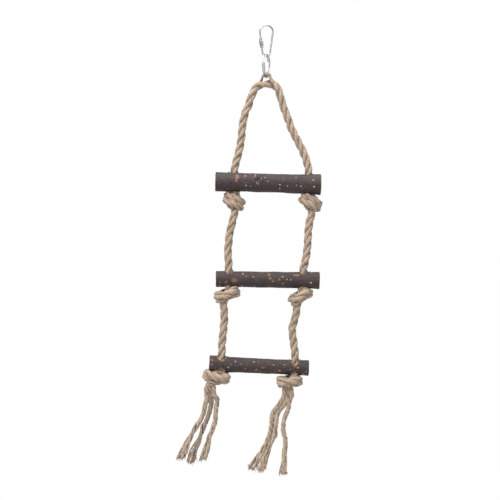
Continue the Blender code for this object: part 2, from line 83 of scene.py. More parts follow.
# ---- driving dimensions, as in the part ---------------------------------------
LINK_WIRE_D = 1.6 * MM
LINK_CROWN_R = 5.7 * MM
LINK_BOTTOM_R = 3.4 * MM
LINK_MOUTH = 3.2 * MM
LINK_MOUTH_BELOW_TOP = 16.8 * MM
RING_WIRE_D = 1.2 * MM
RING_OUTER_D = 22.0 * MM
RING_COIL_PITCH = 1.5 * MM
RING_YAW = math.radians(14.6)
RING_END_ANGLE = math.radians(24.0)
RING_JOG_ANGLE = math.radians(30.0)
ROPE_D = 7.2 * MM
STRAND_D = 3.2 * MM
STRAND_ON_RING = 0.8 * MM
CROWN_UNDER_RING = 1.2 * MM
CROWN_HALF_LENGTH = 8.5 * MM
HOLE_R = ROPE_D / 2.0 + 0.35 * MM
ROPE_BELOW_KNOT = 0.9 * MM
STRAIGHT_OUT_OF_HOLE = 3.0 * MM
TAIL_HINGE_ROOM = 2.2 * MM
GAP = 0.3 * MM

# Rung number: tilt in degrees (positive where the right end hangs lower), length and
# the diameters of its ends, and how much it narrows in its middle and flares at its
# right end.  Places come from the frame.
RUNGS = {
    1: {"tilt": 1.6, "length": 94.2 * MM, "left_d": 17.8 * MM, "right_d": 18.6 * MM,
        "waist": 0.65 * MM, "flare": 0.45 * MM},
    2: {"tilt": 0.9, "length": 92.5 * MM, "left_d": 14.7 * MM, "right_d": 15.6 * MM,
        "waist": 0.35 * MM, "flare": 0.1 * MM},
    3: {"tilt": 2.5, "length": 89.0 * MM, "left_d": 15.2 * MM, "right_d": 14.1 * MM,
        "waist": 0.55 * MM, "flare": 0.1 * MM},
}

# Rope routes: how far along the straight line between their ends, and how far off it,
# positive towards the outside of the ladder.
LOOP_ROUTE = {
    "left": [(0.22, 2.0 * MM), (0.36, 4.3 * MM), (0.47, 6.8 * MM), (0.60, 8.5 * MM),
             (0.71, 8.2 * MM), (0.84, 8.5 * MM), (0.945, 6.2 * MM)],
    "right": [(0.14, 2.5 * MM), (0.24, 2.9 * MM), (0.34, 2.7 * MM), (0.47, 2.6 * MM),
              (0.58, 3.7 * MM), (0.70, 4.6 * MM), (0.82, 6.3 * MM), (0.90, 6.9 * MM),
              (0.963, 4.7 * MM)],
}
BAY_ROUTE = {
    ("left", 1): [(0.22, 1.4 * MM), (0.42, 2.6 * MM), (0.56, 2.4 * MM),
                  (0.70, 2.3 * MM), (0.86, 1.1 * MM)],
    ("right", 1): [(0.20, -0.8 * MM), (0.38, -0.4 * MM), (0.54, 0.4 * MM),
                   (0.72, 0.9 * MM), (0.88, 0.6 * MM)],
    ("left", 2): [(0.18, -0.8 * MM), (0.34, -1.2 * MM), (0.50, -0.7 * MM),
                  (0.66, -0.4 * MM), (0.84, 0.2 * MM)],
    ("right", 2): [(0.18, -0.9 * MM), (0.32, -2.2 * MM), (0.46, -3.8 * MM),
                   (0.62, -2.8 * MM), (0.80, -1.4 * MM)],
}

# Tail strands, outermost left first: right of and below each strand's own hinge.
TAIL_ROUTES = {
    "left": [
        [(0.3, 6.0), (-1.3, 11.5), (-2.9, 19.5), (-7.0, 28.0), (-12.2, 36.5),
         (-17.2, 46.0), (-24.0, 60.0)],
        [(0.8, 6.0), (0.9, 10.6), (-1.6, 21.7), (-5.9, 32.0), (-9.3, 42.3),
         (-14.5, 53.3), (-17.8, 63.3)],
        [(3.0, 6.8), (2.2, 14.9), (1.3, 27.0), (-1.6, 35.4), (-6.0, 48.5),
         (-9.9, 60.8)],
    ],
    "right": [
        [(-3.8, 9.1), (-10.2, 17.5), (-11.5, 27.1), (-13.2, 37.4), (-17.9, 47.0),
         (-23.0, 57.0), (-29.2, 67.8)],
        [(-2.9, 9.1), (-9.0, 17.9), (-10.6, 27.1), (-12.2, 37.4), (-16.5, 47.0),
         (-20.6, 57.0), (-23.8, 69.3)],
        [(-1.9, 7.0), (-2.7, 13.4), (-6.6, 24.5), (-7.0, 33.9), (-5.3, 40.8),
         (-5.8, 50.1), (-6.4, 60.5), (-7.2, 71.8)],
    ],
}

# Knots: the CAD knot's half length, half height and tilt, and where the rope leaves it.
# Then the tied rope: how far its middle reaches along, in depth and up, its lean, its
# shift along and up, which way it is turned, whether it is tied mirrored and how
# thick the rope is in it, as a share of the free rope.
KNOTS = {
    ("left", 1): {"half_l": 10.2 * MM, "half_h": 8.6 * MM, "tilt": 0.0,
                  "exit": 0.6 * MM, "reach": (7.4 * MM, 4.7 * MM, 3.7 * MM),
                  "lean": -19.0, "shift": (0.0, 0.8 * MM), "yaw": 0.0,
                  "mirror": False, "thick": 0.94},
    ("right", 1): {"half_l": 11.2 * MM, "half_h": 7.8 * MM, "tilt": -12.0,
                   "exit": 0.6 * MM, "reach": (8.0 * MM, 4.7 * MM, 3.6 * MM),
                   "lean": -23.0, "shift": (-0.4 * MM, 1.6 * MM), "yaw": 0.0,
                   "mirror": False, "thick": 0.94},
    ("left", 2): {"half_l": 12.0 * MM, "half_h": 5.6 * MM, "tilt": 20.0,
                  "exit": -3.2 * MM, "reach": (8.6 * MM, 4.6 * MM, 2.9 * MM),
                  "lean": 26.0, "shift": (0.0, 0.6 * MM), "yaw": 180.0,
                  "mirror": True, "thick": 1.06},
    ("right", 2): {"half_l": 11.6 * MM, "half_h": 5.6 * MM, "tilt": 20.0,
                   "exit": -3.0 * MM, "reach": (8.0 * MM, 4.6 * MM, 3.0 * MM),
                   "lean": 38.0, "shift": (0.0, 0.2 * MM), "yaw": 180.0,
                   "mirror": True, "thick": 1.06},
    ("left", 3): {"half_l": 12.3 * MM, "half_h": 5.6 * MM, "tilt": -18.0,
                  "exit": -6.6 * MM, "reach": (9.0 * MM, 5.0 * MM, 2.8 * MM),
                  "lean": -16.0, "shift": (-1.0 * MM, 3.6 * MM), "yaw": 180.0,
                  "mirror": False, "thick": 1.06},
    ("right", 3): {"half_l": 11.8 * MM, "half_h": 4.8 * MM, "tilt": 12.0,
                   "exit": -1.4 * MM, "reach": (8.4 * MM, 4.6 * MM, 2.5 * MM),
                   "lean": 9.0, "shift": (0.0, 0.8 * MM), "yaw": 180.0,
                   "mirror": True, "thick": 1.04},
}

# Marks on the front of the bark: how far along the rung from its middle in millimetres,
# and how high up its face, from -1 at the bottom to 1 at the top.
LENTICELS = {
    1: [(-20.3, 0.65), (-2.9, 0.53), (-0.5, 0.17), (-19.6, -0.36), (-15.3, -0.42),
        (10.3, -0.2), (17.2, -0.31), (10.4, -0.58), (24.6, 0.61), (25.2, -0.19),
        (28.9, -0.27), (39.8, 0.38), (40.7, -0.27), (-28.2, 0.06)],
    2: [(-42.7, -0.4), (-42.6, -0.78), (-22.1, 0.73), (-19.4, 0.32), (-13.1, 0.33),
        (17.0, 0.06), (13.2, 0.41), (13.3, -0.44), (38.3, -0.25), (-12.1, -0.8),
        (20.4, 0.05), (-22.8, -0.83)],
    3: [(-25.1, 0.14), (-27.4, -0.27), (-16.2, 0.19), (-12.0, -0.33), (-21.2, 0.52),
        (-4.7, 0.57), (12.9, 0.27), (18.4, -0.46), (22.7, 0.34), (34.4, 0.07),
        (27.5, -0.22), (42.1, -0.39), (39.6, -0.78), (-42.0, 0.0)],
}
# The same, then half the scar's width and height in millimetres.
SCARS = {
    1: [(-27.9, 0.51, 2.0, 2.6)],
    2: [(-37.1, -0.38, 1.6, 1.3), (-30.0, -0.12, 2.8, 1.8), (1.1, 0.65, 1.5, 1.4),
        (2.1, 0.18, 1.6, 1.3), (4.8, -0.11, 1.0, 1.4), (10.1, 0.08, 1.1, 1.0),
        (25.2, 0.66, 3.0, 1.1)],
    3: [(-33.3, -0.68, 3.6, 1.6), (3.3, -0.13, 1.4, 1.0), (-2.4, -0.45, 1.6, 1.1),
        (1.5, -0.8, 1.0, 0.6), (14.9, -0.69, 1.1, 0.7), (-42.0, 0.55, 1.0, 1.2)],
}
BRANCH_STUB = {"rung": 1, "along": -9.1, "height": 0.36, "half": 4.3}

VIEW_CENTRE = (-14.6 * MM, -199.8 * MM)
VIEW_WIDTH = 446.5 * MM


# ---- what a user may change ---------------------------------------------------
class RopeSettings(bpy.types.PropertyGroup):
    """Sizes and colours of the laid jute rope."""
    lay_length: FloatProperty(
        name="Lay length", description="Length of one full turn of a strand",
        default=26.0 * MM, unit="LENGTH")
    loop_lay_length: FloatProperty(
        name="Lay length at the top", description="The same in the loop, which is slacker",
        default=36.0 * MM, unit="LENGTH")
    strand_d: FloatProperty(
        name="Strand diameter", description="Diameter of one of the three strands",
        default=3.66 * MM, unit="LENGTH")
    yarns: IntProperty(
        name="Yarns", description="Yarn ridges round a strand", default=6, min=3)
    ridge: FloatProperty(
        name="Yarn ridge", description="Height of a yarn ridge as a share of the radius",
        default=0.13)
    fuzz_per_mm: FloatProperty(
        name="Stray fibres", description="Stray fibres for each millimetre of rope",
        default=1.3)
    pale: FloatVectorProperty(
        name="Pale fibre", description="Colour of the palest fibres", subtype="COLOR",
        default=(0.44, 0.345, 0.27))
    middle: FloatVectorProperty(
        name="Main fibre", description="Main colour of the jute", subtype="COLOR",
        default=(0.295, 0.218, 0.158))
    # The dark jute colour, also used for the painted shade in the gaps between fibres and in
    # the grooves between strands.
    dark_and_shade: FloatVectorProperty(
        name="Dark fibre", description="Colour down between the fibres", subtype="COLOR",
        default=(0.125, 0.086, 0.058))


class RungSettings(bpy.types.PropertyGroup):
    """Colours and relief of the bark rungs."""
    bark: FloatVectorProperty(
        name="Bark", description="Main colour of the bark", subtype="COLOR",
        default=(0.034, 0.0255, 0.0245))
    bark_light: FloatVectorProperty(
        name="Worn bark", description="Colour of the paler skin of the bark",
        subtype="COLOR", default=(0.068, 0.052, 0.049))
    scar: FloatVectorProperty(
        name="Scar", description="Colour where the bark is rubbed through",
        subtype="COLOR", default=(0.155, 0.068, 0.044))
    lenticel: FloatVectorProperty(
        name="Lenticels", description="Colour of the corky dots", subtype="COLOR",
        default=(0.36, 0.26, 0.19))
    wood: FloatVectorProperty(
        name="Wood", description="Colour of the cut wood", subtype="COLOR",
        default=(0.36, 0.215, 0.125))
    relief: FloatProperty(
        name="Relief", description="Height of the bark's unevenness",
        default=0.22 * MM, unit="LENGTH")


class MetalSettings(bpy.types.PropertyGroup):
    """Colours of the link and of the ring."""
    zinc: FloatVectorProperty(
        name="Zinc", description="Colour of the plated link", subtype="COLOR",
        default=(0.46, 0.465, 0.47))
    chrome: FloatVectorProperty(
        name="Chrome", description="Colour of the bright ring", subtype="COLOR",
        default=(0.44, 0.45, 0.46))


# ---- curves -------------------------------------------------------------------
def smooth_curve(points, steps=12):
    """A fine polyline on a centripetal Catmull-Rom curve through the points."""
    points = np.array(points, float)
    padded = np.vstack((2 * points[0] - points[1], points, 2 * points[-1] - points[-2]))
    fine = []
    for a, b, c, d in zip(padded, padded[1:], padded[2:], padded[3:]):
        at_b = math.sqrt(np.linalg.norm(b - a))
        at_c = at_b + math.sqrt(np.linalg.norm(c - b))
        at_d = at_c + math.sqrt(np.linalg.norm(d - c))
        t = np.linspace(at_b, at_c, steps, endpoint=False)[:, None]
        ab = a + (b - a) * t / at_b
        bc = b + (c - b) * (t - at_b) / (at_c - at_b)
        cd = c + (d - c) * (t - at_c) / (at_d - at_c)
        abc = ab + (bc - ab) * t / at_c
        bcd = bc + (cd - bc) * (t - at_b) / (at_d - at_b)
        fine.append(abc + (bcd - abc) * (t - at_b) / (at_c - at_b))
    return np.vstack((*fine, points[-1:]))


def distances_along(points):
    steps = np.linalg.norm(np.diff(points, axis=0), axis=1)
    return np.concatenate(([0.0], np.cumsum(steps)))


def unit(vectors):
    return vectors / np.linalg.norm(vectors, axis=-1, keepdims=True)


def ease(share):
    share = np.clip(share, 0.0, 1.0)
    return share * share * (3.0 - 2.0 * share)


def carried_across(tangents, across):
    """Directions across a curve that start from one and don't twist along it."""
    carried = np.empty_like(tangents)
    for i, tangent in enumerate(tangents):
        across = unit(across - tangent * np.dot(across, tangent))
        carried[i] = across
    return carried


class Path:
    """A curve with a pair of directions across it that don't twist along it."""

    def __init__(self, points, across=BACK, spacing=0.4 * MM):
        rough = distances_along(points)
        count = max(3, int(rough[-1] / spacing) + 1)
        even = np.linspace(0.0, rough[-1], count)
        self.points = np.stack([np.interp(even, rough, points[:, i]) for i in range(3)], 1)
        self.at = distances_along(self.points)
        self.length = self.at[-1]
        self.tangents = unit(np.gradient(self.points, axis=0))
        self.across = carried_across(self.tangents, across)

    def sample(self, distances):
        """Points, and the two directions across the path, at these distances."""
        def read(values):
            return np.stack([np.interp(distances, self.at, values[:, i])
                             for i in range(3)], 1)
        tangent = unit(read(self.tangents))
        across = read(self.across)
        across = unit(across - tangent * np.sum(across * tangent, 1, keepdims=True))
        return read(self.points), across, np.cross(tangent, across)

    def nearest(self, target):
        return self.at[np.argmin(np.linalg.norm(self.points - target, axis=1))]


def wobble(distances, seed, wave=23.0 * MM):
    """A smooth unevenness between about -1 and 1, the same at every run."""
    return (0.6 * np.sin(TURN * distances / wave + 2.1 * seed)
            + 0.4 * np.sin(TURN * distances / (wave * 0.57) + 4.3 * seed + 1.0))


# ---- meshes -------------------------------------------------------------------
class Gather:
    """Collects tubes into one mesh with a map along their fibres and a value each for uneven
    colour and painted shade.
    """

    def __init__(self):
        self.points = []
        self.faces = []
        self.maps = []
        self.tones_and_shade = []
        self.count = 0

    def tube(self, rings, around, along, tone_and_shade=0.5, capped=True):
        """rings is (n, m, 3); around (n, m + 1) and along (n,) are map coordinates."""
        n, m = rings.shape[:2]
        index = self.count + np.arange(n * m).reshape(n, m)
        beside = np.roll(index, -1, axis=1)
        quads = np.stack((index[:-1], beside[:-1], beside[1:], index[1:]), -1)
        u = np.stack((around[:-1, :-1], around[:-1, 1:], around[1:, 1:],
                      around[1:, :-1]), -1)
        v = np.broadcast_to(along[:, None], (n, m))
        v = np.stack((v[:-1], v[:-1], v[1:], v[1:]), -1)
        self.faces += quads.reshape(-1, 4).tolist()
        self.maps.append(np.stack((u, v), -1).reshape(-1, 2))
        if capped:
            self.faces += [index[0][::-1].tolist(), index[-1].tolist()]
            for end in (0, -1):
                middle = (float(around[end].mean()), float(along[end]))
                self.maps.append(np.tile(middle, (m, 1)))
        self.points.append(rings.reshape(-1, 3))
        tone_and_shade = np.asarray(tone_and_shade, float)
        tone_and_shade = tone_and_shade if tone_and_shade.ndim == 2 else tone_and_shade.reshape(-1, 1)
        self.tones_and_shade.append(np.broadcast_to(tone_and_shade, (n, m)).reshape(-1))
        self.count += n * m

    def build(self, name, *materials, slots=None):
        """An object of all the tubes; slots gives each face's material, if not the first."""
        mesh = bpy.data.meshes.new(name)
        mesh.from_pydata(np.vstack(self.points).tolist(), [], self.faces)
        layer = mesh.uv_layers.new(name="fibre_map")
        layer.data.foreach_set("uv", np.vstack(self.maps).astype(np.float32).ravel())
        # This attribute holds the jute's uneven colour and, on laid rope, painted shade in
        # the grooves and painted light on the yarn ridges.
        tone_and_shade = mesh.attributes.new("tone_and_shade", "FLOAT", "POINT")
        tone_and_shade.data.foreach_set("value", np.concatenate(self.tones_and_shade).astype(np.float32))
        if slots is not None:
            mesh.polygons.foreach_set("material_index", slots)
        mesh.shade_smooth()
        return add_object(name, mesh, *materials)


def add_object(name, mesh, *materials):
    for finish in materials:
        mesh.materials.append(finish)
    obj = bpy.data.objects.new(name, mesh)
    bpy.context.scene.collection.objects.link(obj)
    return obj


def plain_tube(gather, points, radii, sides, tone_and_shade=0.5, across=BACK):
    """A round tube whose radius changes along it."""
    tangents = unit(np.gradient(points, axis=0))
    across = carried_across(tangents, across)
    side = np.cross(tangents, across)
    turn = np.linspace(0.0, TURN, sides, endpoint=False)
    rings = (points[:, None]
             + radii[:, None, None] * (np.cos(turn)[None, :, None] * across[:, None]
                                       + np.sin(turn)[None, :, None] * side[:, None]))
    girth = np.linspace(0.0, 1.0, sides + 1) * TURN * radii.max() * MAP_SCALE
    around = np.broadcast_to(girth, (len(points), sides + 1))
    gather.tube(rings, around, distances_along(points) * MAP_SCALE, tone_and_shade)


# ---- shader node groups -------------------------------------------------------
def add_node(tree, kind, values=(), **settings):
    node = tree.nodes.new(kind)
    for name, value in settings.items():
        setattr(node, name, value)
    for name, value in dict(values).items():
        node.inputs[name].default_value = value
    return node


def wire(tree, *pairs):
    for source, target in pairs:
        tree.links.new(source, target)


def new_group(name, inputs, outputs):
    group = bpy.data.node_groups.new(name, "ShaderNodeTree")
    for label, kind, default in inputs:
        socket = group.interface.new_socket(name=label, in_out="INPUT",
                                            socket_type="NodeSocket" + kind)
        if default is not None:
            socket.default_value = default
    for label, kind in outputs:
        group.interface.new_socket(name=label, in_out="OUTPUT",
                                   socket_type="NodeSocket" + kind)
    start = add_node(group, "NodeGroupInput")
    end = add_node(group, "NodeGroupOutput")
    return group, start.outputs, end.inputs


def calculate(tree, operation, first, second=None, third=None, clamp=False):
    """A Math node; sockets are wired and numbers are set. Returns its output."""
    node = add_node(tree, "ShaderNodeMath", operation=operation, use_clamp=clamp)
    for socket, value in zip(node.inputs, (first, second, third)):
        if isinstance(value, bpy.types.NodeSocket):
            tree.links.new(value, socket)
        elif value is not None:
            socket.default_value = value
    return node.outputs[0]


def times(tree, first, second):
    return calculate(tree, "MULTIPLY", first, second)


def plus(tree, first, second):
    return calculate(tree, "ADD", first, second)


def rescaled(tree, value, scale, shift):
    """The value times scale, plus shift."""
    return calculate(tree, "MULTIPLY_ADD", value, scale, shift)


def mix_colours(tree, factor, first, second, blend="MIX"):
    """A colour Mix node; sockets are wired and colours are set. Returns its output."""
    node = add_node(tree, "ShaderNodeMix", data_type="RGBA", blend_type=blend)
    for index, value in ((0, factor), (6, first), (7, second)):
        if isinstance(value, bpy.types.NodeSocket):
            tree.links.new(value, node.inputs[index])
        elif index == 0:
            node.inputs[index].default_value = value
        else:
            node.inputs[index].default_value = (*value, 1.0)
    return node.outputs[2]


def object_place(tree):
    return add_node(tree, "ShaderNodeTexCoord").outputs["Object"]


def stretched(tree, vector, scale):
    """The vector, scaled by its own amount along each direction."""
    node = add_node(tree, "ShaderNodeVectorMath", operation="MULTIPLY")
    tree.links.new(vector, node.inputs[0])
    node.inputs[1].default_value = scale
    return node.outputs[0]


def noise_value(tree, vector, scale, detail=3.0, roughness=0.55, distortion=0.0):
    node = add_node(tree, "ShaderNodeTexNoise",
                    {"Scale": scale, "Detail": detail, "Roughness": roughness,
                     "Distortion": distortion})
    tree.links.new(vector, node.inputs["Vector"])
    return node.outputs["Fac"]


def between(tree, value, low, high):
    """0 below low, 1 above high, and smooth between."""
    node = add_node(tree, "ShaderNodeMapRange", {"From Min": low, "From Max": high},
                    interpolation_type="SMOOTHSTEP")
    tree.links.new(value, node.inputs["Value"])
    return node.outputs["Result"]


def make_fibre_group():
    """Fine fibres that run along the map's second direction, with a mask for painted shade
    in the gaps between them.
    """
    group, given, out = new_group(
        "Fibre streaks", [("Vector", "Vector", None), ("Fineness", "Float", 1.0)],
        [("Streaks", "Float"), ("Shaded_gaps", "Float"), ("Height", "Float")])
    scaled = add_node(group, "ShaderNodeVectorMath", operation="SCALE")
    wire(group, (given["Vector"], scaled.inputs[0]),
         (given["Fineness"], scaled.inputs["Scale"]))
    vector = scaled.outputs[0]
    fine = noise_value(group, stretched(group, vector, (42.0, 2.6, 1.0)), 1.0, 2.0, 0.6)
    coarse = noise_value(group, stretched(group, vector, (15.0, 1.3, 1.0)), 1.0, 2.0,
                         0.5, 0.4)
    both = plus(group, times(group, fine, 0.55), times(group, coarse, 0.45))
    # Painted shade: a mask on the low places between the fibres, where the bump is lowest.
    gap_shade = between(group, both, 0.47, 0.36)
    wire(group, (between(group, both, 0.36, 0.64), out["Streaks"]), (gap_shade, out["Shaded_gaps"]),
         (both, out["Height"]))
    return group


def make_patch_group():
    """Soft patches for slow changes of colour."""
    group, given, out = new_group(
        "Soft patches", [("Vector", "Vector", None), ("Scale", "Float", 100.0)],
        [("First", "Float"), ("Second", "Float")])
    for label, shift in (("First", 0.0), ("Second", 7.3)):
        moved = add_node(group, "ShaderNodeVectorMath", operation="ADD")
        moved.inputs[1].default_value = (shift, -shift, shift)
        texture = add_node(group, "ShaderNodeTexNoise", {"Detail": 2.0})
        wire(group, (given["Vector"], moved.inputs[0]),
             (moved.outputs[0], texture.inputs["Vector"]),
             (given["Scale"], texture.inputs["Scale"]))
        wire(group, (between(group, texture.outputs["Fac"], 0.38, 0.62), out[label]))
    return group


def make_wear_group():
    """Dulling, fine scratches and small pits on plated wire."""
    group, given, out = new_group(
        "Plating wear", [("Vector", "Vector", None), ("Amount", "Float", 0.5)],
        [("Dull", "Float"), ("Roughness", "Float"), ("Height", "Float")])
    vector = given["Vector"]
    cloud = between(group, noise_value(group, vector, 260.0, 4.0), 0.4, 0.66)
    pits = between(group, noise_value(group, vector, 2600.0, 2.0), 0.60, 0.72)
    scratches = noise_value(group, stretched(group, vector, (5200.0, 5200.0, 500.0)), 1.0)
    worn = plus(group, times(group, cloud, 0.6), times(group, pits, 0.4))
    dull = calculate(group, "MULTIPLY", worn, given["Amount"], clamp=True)
    height = calculate(group, "SUBTRACT", times(group, scratches, 0.3),
                       times(group, pits, 0.7))
    rough = rescaled(group, dull, 0.20, 0.36)
    wire(group, (dull, out["Dull"]), (rough, out["Roughness"]), (height, out["Height"]))
    return group


def use_group(tree, group, vector, **values):
    node = add_node(tree, "ShaderNodeGroup", node_tree=group)
    tree.links.new(vector, node.inputs["Vector"])
    for name, value in values.items():
        node.inputs[name].default_value = value
    return node.outputs


# ---- materials ----------------------------------------------------------------
# Colours beside the ones that a user may change.
PINK_FIBRE = (0.37, 0.245, 0.19)
OLIVE_FIBRE = (0.24, 0.20, 0.13)
PLUM_BARK = (0.045, 0.030, 0.032)
BARK_SPECKS = (0.088, 0.068, 0.061)
BARK_CRACKS = (0.013, 0.010, 0.0095)
PALE_SCAR = (0.20, 0.12, 0.08)
WOOD_RINGS = (0.24, 0.14, 0.08)
TORN_WOOD = (0.165, 0.10, 0.06)
DIRTY_WOOD = (0.14, 0.10, 0.07)
WOOD_EDGE = (0.05, 0.034, 0.029)
DULL_ZINC = (0.24, 0.24, 0.245)
DULL_CHROME = (0.34, 0.34, 0.35)


def new_material(name, **sockets):
    """Makes a Principled material. Returns its tree and its shader's inputs."""
    made = bpy.data.materials.new(name)
    made.use_nodes = True
    tree = made.node_tree
    inputs = tree.nodes["Principled BSDF"].inputs
    for label, value in sockets.items():
        inputs[label.replace("_", " ")].default_value = value
    return tree, inputs


def material(name):
    return bpy.data.materials[name]


def add_bump(tree, inputs, height, distance, strength=1.0):
    bump = add_node(tree, "ShaderNodeBump", {"Distance": distance, "Strength": strength})
    wire(tree, (height, bump.inputs["Height"]), (bump.outputs[0], inputs["Normal"]))


def make_jute(groups, name, shade=1.0, fineness=1.0):
    """Twisted plant fibre: pale streaks, painted shade in the gaps between fibres, pink,
    olive and tan patches, and the mesh's painted shade and light.
    """
    rope = bpy.context.scene.ladder_rope
    tree, inputs = new_material(name, Sheen_Weight=0.25, Sheen_Roughness=0.5,
                                Specular_IOR_Level=0.22)
    fibre_map = add_node(tree, "ShaderNodeUVMap", uv_map="fibre_map").outputs[0]
    tone_and_shade = add_node(tree, "ShaderNodeAttribute", attribute_name="tone_and_shade").outputs["Fac"]
    fibres = use_group(tree, groups["fibres"], fibre_map, Fineness=fineness)
    patches = use_group(tree, groups["patches"], object_place(tree), Scale=170.0)
    colour = mix_colours(tree, times(tree, patches["First"], 0.7), rope.middle, PINK_FIBRE)
    colour = mix_colours(tree, times(tree, patches["Second"], 0.7), colour, OLIVE_FIBRE)
    colour = mix_colours(tree, times(tree, fibres["Streaks"], 0.75), colour, rope.pale)
    # Painted shade in the gaps between the fibres.
    colour = mix_colours(tree, times(tree, fibres["Shaded_gaps"], 0.75), colour, rope.dark_and_shade)
    # Painted shade where the mesh's value falls below a half, mostly in the grooves between
    # strands, and darker jute where it falls at random.
    colour = mix_colours(tree, between(tree, tone_and_shade, 0.5, 0.0), colour, rope.dark_and_shade)
    # Painted light on the yarn ridges where the value rises above a half, and paler jute
    # where it rises at random.
    paler_and_lit = times(tree, between(tree, tone_and_shade, 0.5, 1.0), 0.45)
    colour = mix_colours(tree, paler_and_lit, colour, rope.pale)
    # The whole colour is scaled by shade: the shaded tail copy gets painted shade all over.
    colour = mix_colours(tree, 1.0, colour, (shade, shade * 0.985, shade * 0.96),
                         "MULTIPLY")
    wire(tree, (colour, inputs["Base Color"]),
         (rescaled(tree, fibres["Streaks"], -0.14, 0.93), inputs["Roughness"]))
    add_bump(tree, inputs, fibres["Height"], 0.45 * MM)


def make_bark(groups):
    """Smooth young bark with lengthwise wrinkles, corky dots and rubbed scars."""
    rung = bpy.context.scene.ladder_rungs
    tree, inputs = new_material("rung_bark", Specular_IOR_Level=0.22)
    place = object_place(tree)
    patches = use_group(tree, groups["patches"], place, Scale=120.0)
    wrinkles = noise_value(tree, stretched(tree, place, (0.35, 1.0, 1.0)), 900.0, 4.0, 0.6)
    skin = noise_value(tree, stretched(tree, place, (1.0, 0.6, 0.6)), 2600.0, 3.0, 0.7)
    crackle = add_node(tree, "ShaderNodeTexVoronoi", {"Scale": 1.0},
                       feature="DISTANCE_TO_EDGE")
    wire(tree, (stretched(tree, place, (300.0, 900.0, 900.0)), crackle.inputs["Vector"]))
    to_crack = crackle.outputs["Distance"]
    worn = times(tree, between(tree, wrinkles, 0.42, 0.66),
                 rescaled(tree, patches["First"], 0.6, 0.4))
    colour = mix_colours(tree, worn, rung.bark, rung.bark_light)
    colour = mix_colours(tree, times(tree, patches["Second"], 0.5), colour, PLUM_BARK)
    specks = times(tree, between(tree, skin, 0.60, 0.72), 0.5)
    colour = mix_colours(tree, specks, colour, BARK_SPECKS)
    cracks = times(tree, between(tree, to_crack, 0.05, 0.0), 0.45)
    colour = mix_colours(tree, cracks, colour, BARK_CRACKS)
    wire(tree, (marked(tree, colour, place, skin), inputs["Base Color"]),
         (rescaled(tree, wrinkles, 0.35, 0.45), inputs["Roughness"]))
    height = plus(tree, times(tree, wrinkles, 0.7), times(tree, skin, 0.3))
    height = plus(tree, height, times(tree, between(tree, to_crack, 0.0, 0.08), 0.12))
    add_bump(tree, inputs, height, 0.30 * MM)


def marked(tree, colour, place, skin):
    """The bark's colour with its scars, corky dots and torn rims added."""
    rung = bpy.context.scene.ladder_rungs
    marks = add_node(tree, "ShaderNodeAttribute", attribute_name="marks")
    split = add_node(tree, "ShaderNodeSeparateColor")
    wire(tree, (marks.outputs["Color"], split.inputs[0]))
    dot, scar, rim = split.outputs
    torn = noise_value(tree, stretched(tree, place, (0.6, 1.0, 1.0)), 1100.0, 3.0, 0.6)
    scar = between(tree, plus(tree, scar, rescaled(tree, torn, 2.4, -1.2)), 0.28, 0.55)
    grain = noise_value(tree, stretched(tree, place, (0.4, 1.0, 1.0)), 2200.0, 3.0)
    tint = mix_colours(tree, between(tree, grain, 0.4, 0.62), rung.scar, PALE_SCAR)
    colour = mix_colours(tree, times(tree, scar, 0.85), colour, tint)
    ragged = rescaled(tree, skin, 0.5, -0.25)
    dot = between(tree, plus(tree, dot, ragged), 0.35, 0.6)
    colour = mix_colours(tree, dot, colour, rung.lenticel)
    rim = between(tree, plus(tree, rim, ragged), 0.4, 0.7)
    return mix_colours(tree, rim, colour, rung.wood)


def make_cut_wood(groups, name, shade):
    """Sawn or drilled wood: torn grain, and rings round the pith on a rung's ends."""
    rung = bpy.context.scene.ladder_rungs
    tree, inputs = new_material(name, Roughness=0.8, Specular_IOR_Level=0.25)
    place = object_place(tree)
    marks = add_node(tree, "ShaderNodeAttribute", attribute_name="marks")
    radius = marks.outputs["Alpha"]
    waver = noise_value(tree, place, 260.0, 2.0)
    rings = calculate(tree, "SINE", times(tree, rescaled(tree, waver, 0.22, radius), 46.0))
    grain = noise_value(tree, stretched(tree, place, (0.15, 1.0, 1.0)), 2400.0, 3.0, 0.65)
    patches = use_group(tree, groups["patches"], place, Scale=220.0)
    colour = mix_colours(tree, between(tree, rings, -0.6, 0.9), rung.wood, WOOD_RINGS)
    colour = mix_colours(tree, between(tree, grain, 0.56, 0.40), colour, TORN_WOOD)
    colour = mix_colours(tree, times(tree, patches["First"], 0.45), colour, DIRTY_WOOD)
    colour = mix_colours(tree, between(tree, radius, 0.90, 0.97), colour, WOOD_EDGE)
    colour = mix_colours(tree, 1.0, colour, (shade,) * 3, "MULTIPLY")
    wire(tree, (colour, inputs["Base Color"]))
    add_bump(tree, inputs, plus(tree, grain, times(tree, rings, 0.08)), 0.35 * MM)


def make_metal(groups, name, colour, dull_colour, amount):
    """Plated steel wire, dulled in patches."""
    tree, inputs = new_material(name, Metallic=1.0)
    wear = use_group(tree, groups["wear"], object_place(tree), Amount=amount)
    wire(tree, (mix_colours(tree, wear["Dull"], colour, dull_colour),
                inputs["Base Color"]), (wear["Roughness"], inputs["Roughness"]))
    add_bump(tree, inputs, wear["Height"], 0.02 * MM, 0.5)


def make_materials():
    metal = bpy.context.scene.ladder_metal
    groups = {"fibres": make_fibre_group(), "patches": make_patch_group(),
              "wear": make_wear_group()}
    make_jute(groups, "rope_jute")
    make_jute(groups, "tail_jute", shade=1.06, fineness=1.3)
    # A copy of the tail jute darkened as painted shade, for the middle strand of the left
    # tail.
    make_jute(groups, "shaded_tail_jute", shade=0.74, fineness=1.3)
    make_bark(groups)
    make_cut_wood(groups, "sawn_end", 0.8)
    make_cut_wood(groups, "drilled_wood", 0.75)
    make_metal(groups, "link_zinc", metal.zinc, DULL_ZINC, 0.8)
    make_metal(groups, "ring_chrome", metal.chrome, DULL_CHROME, 0.25)


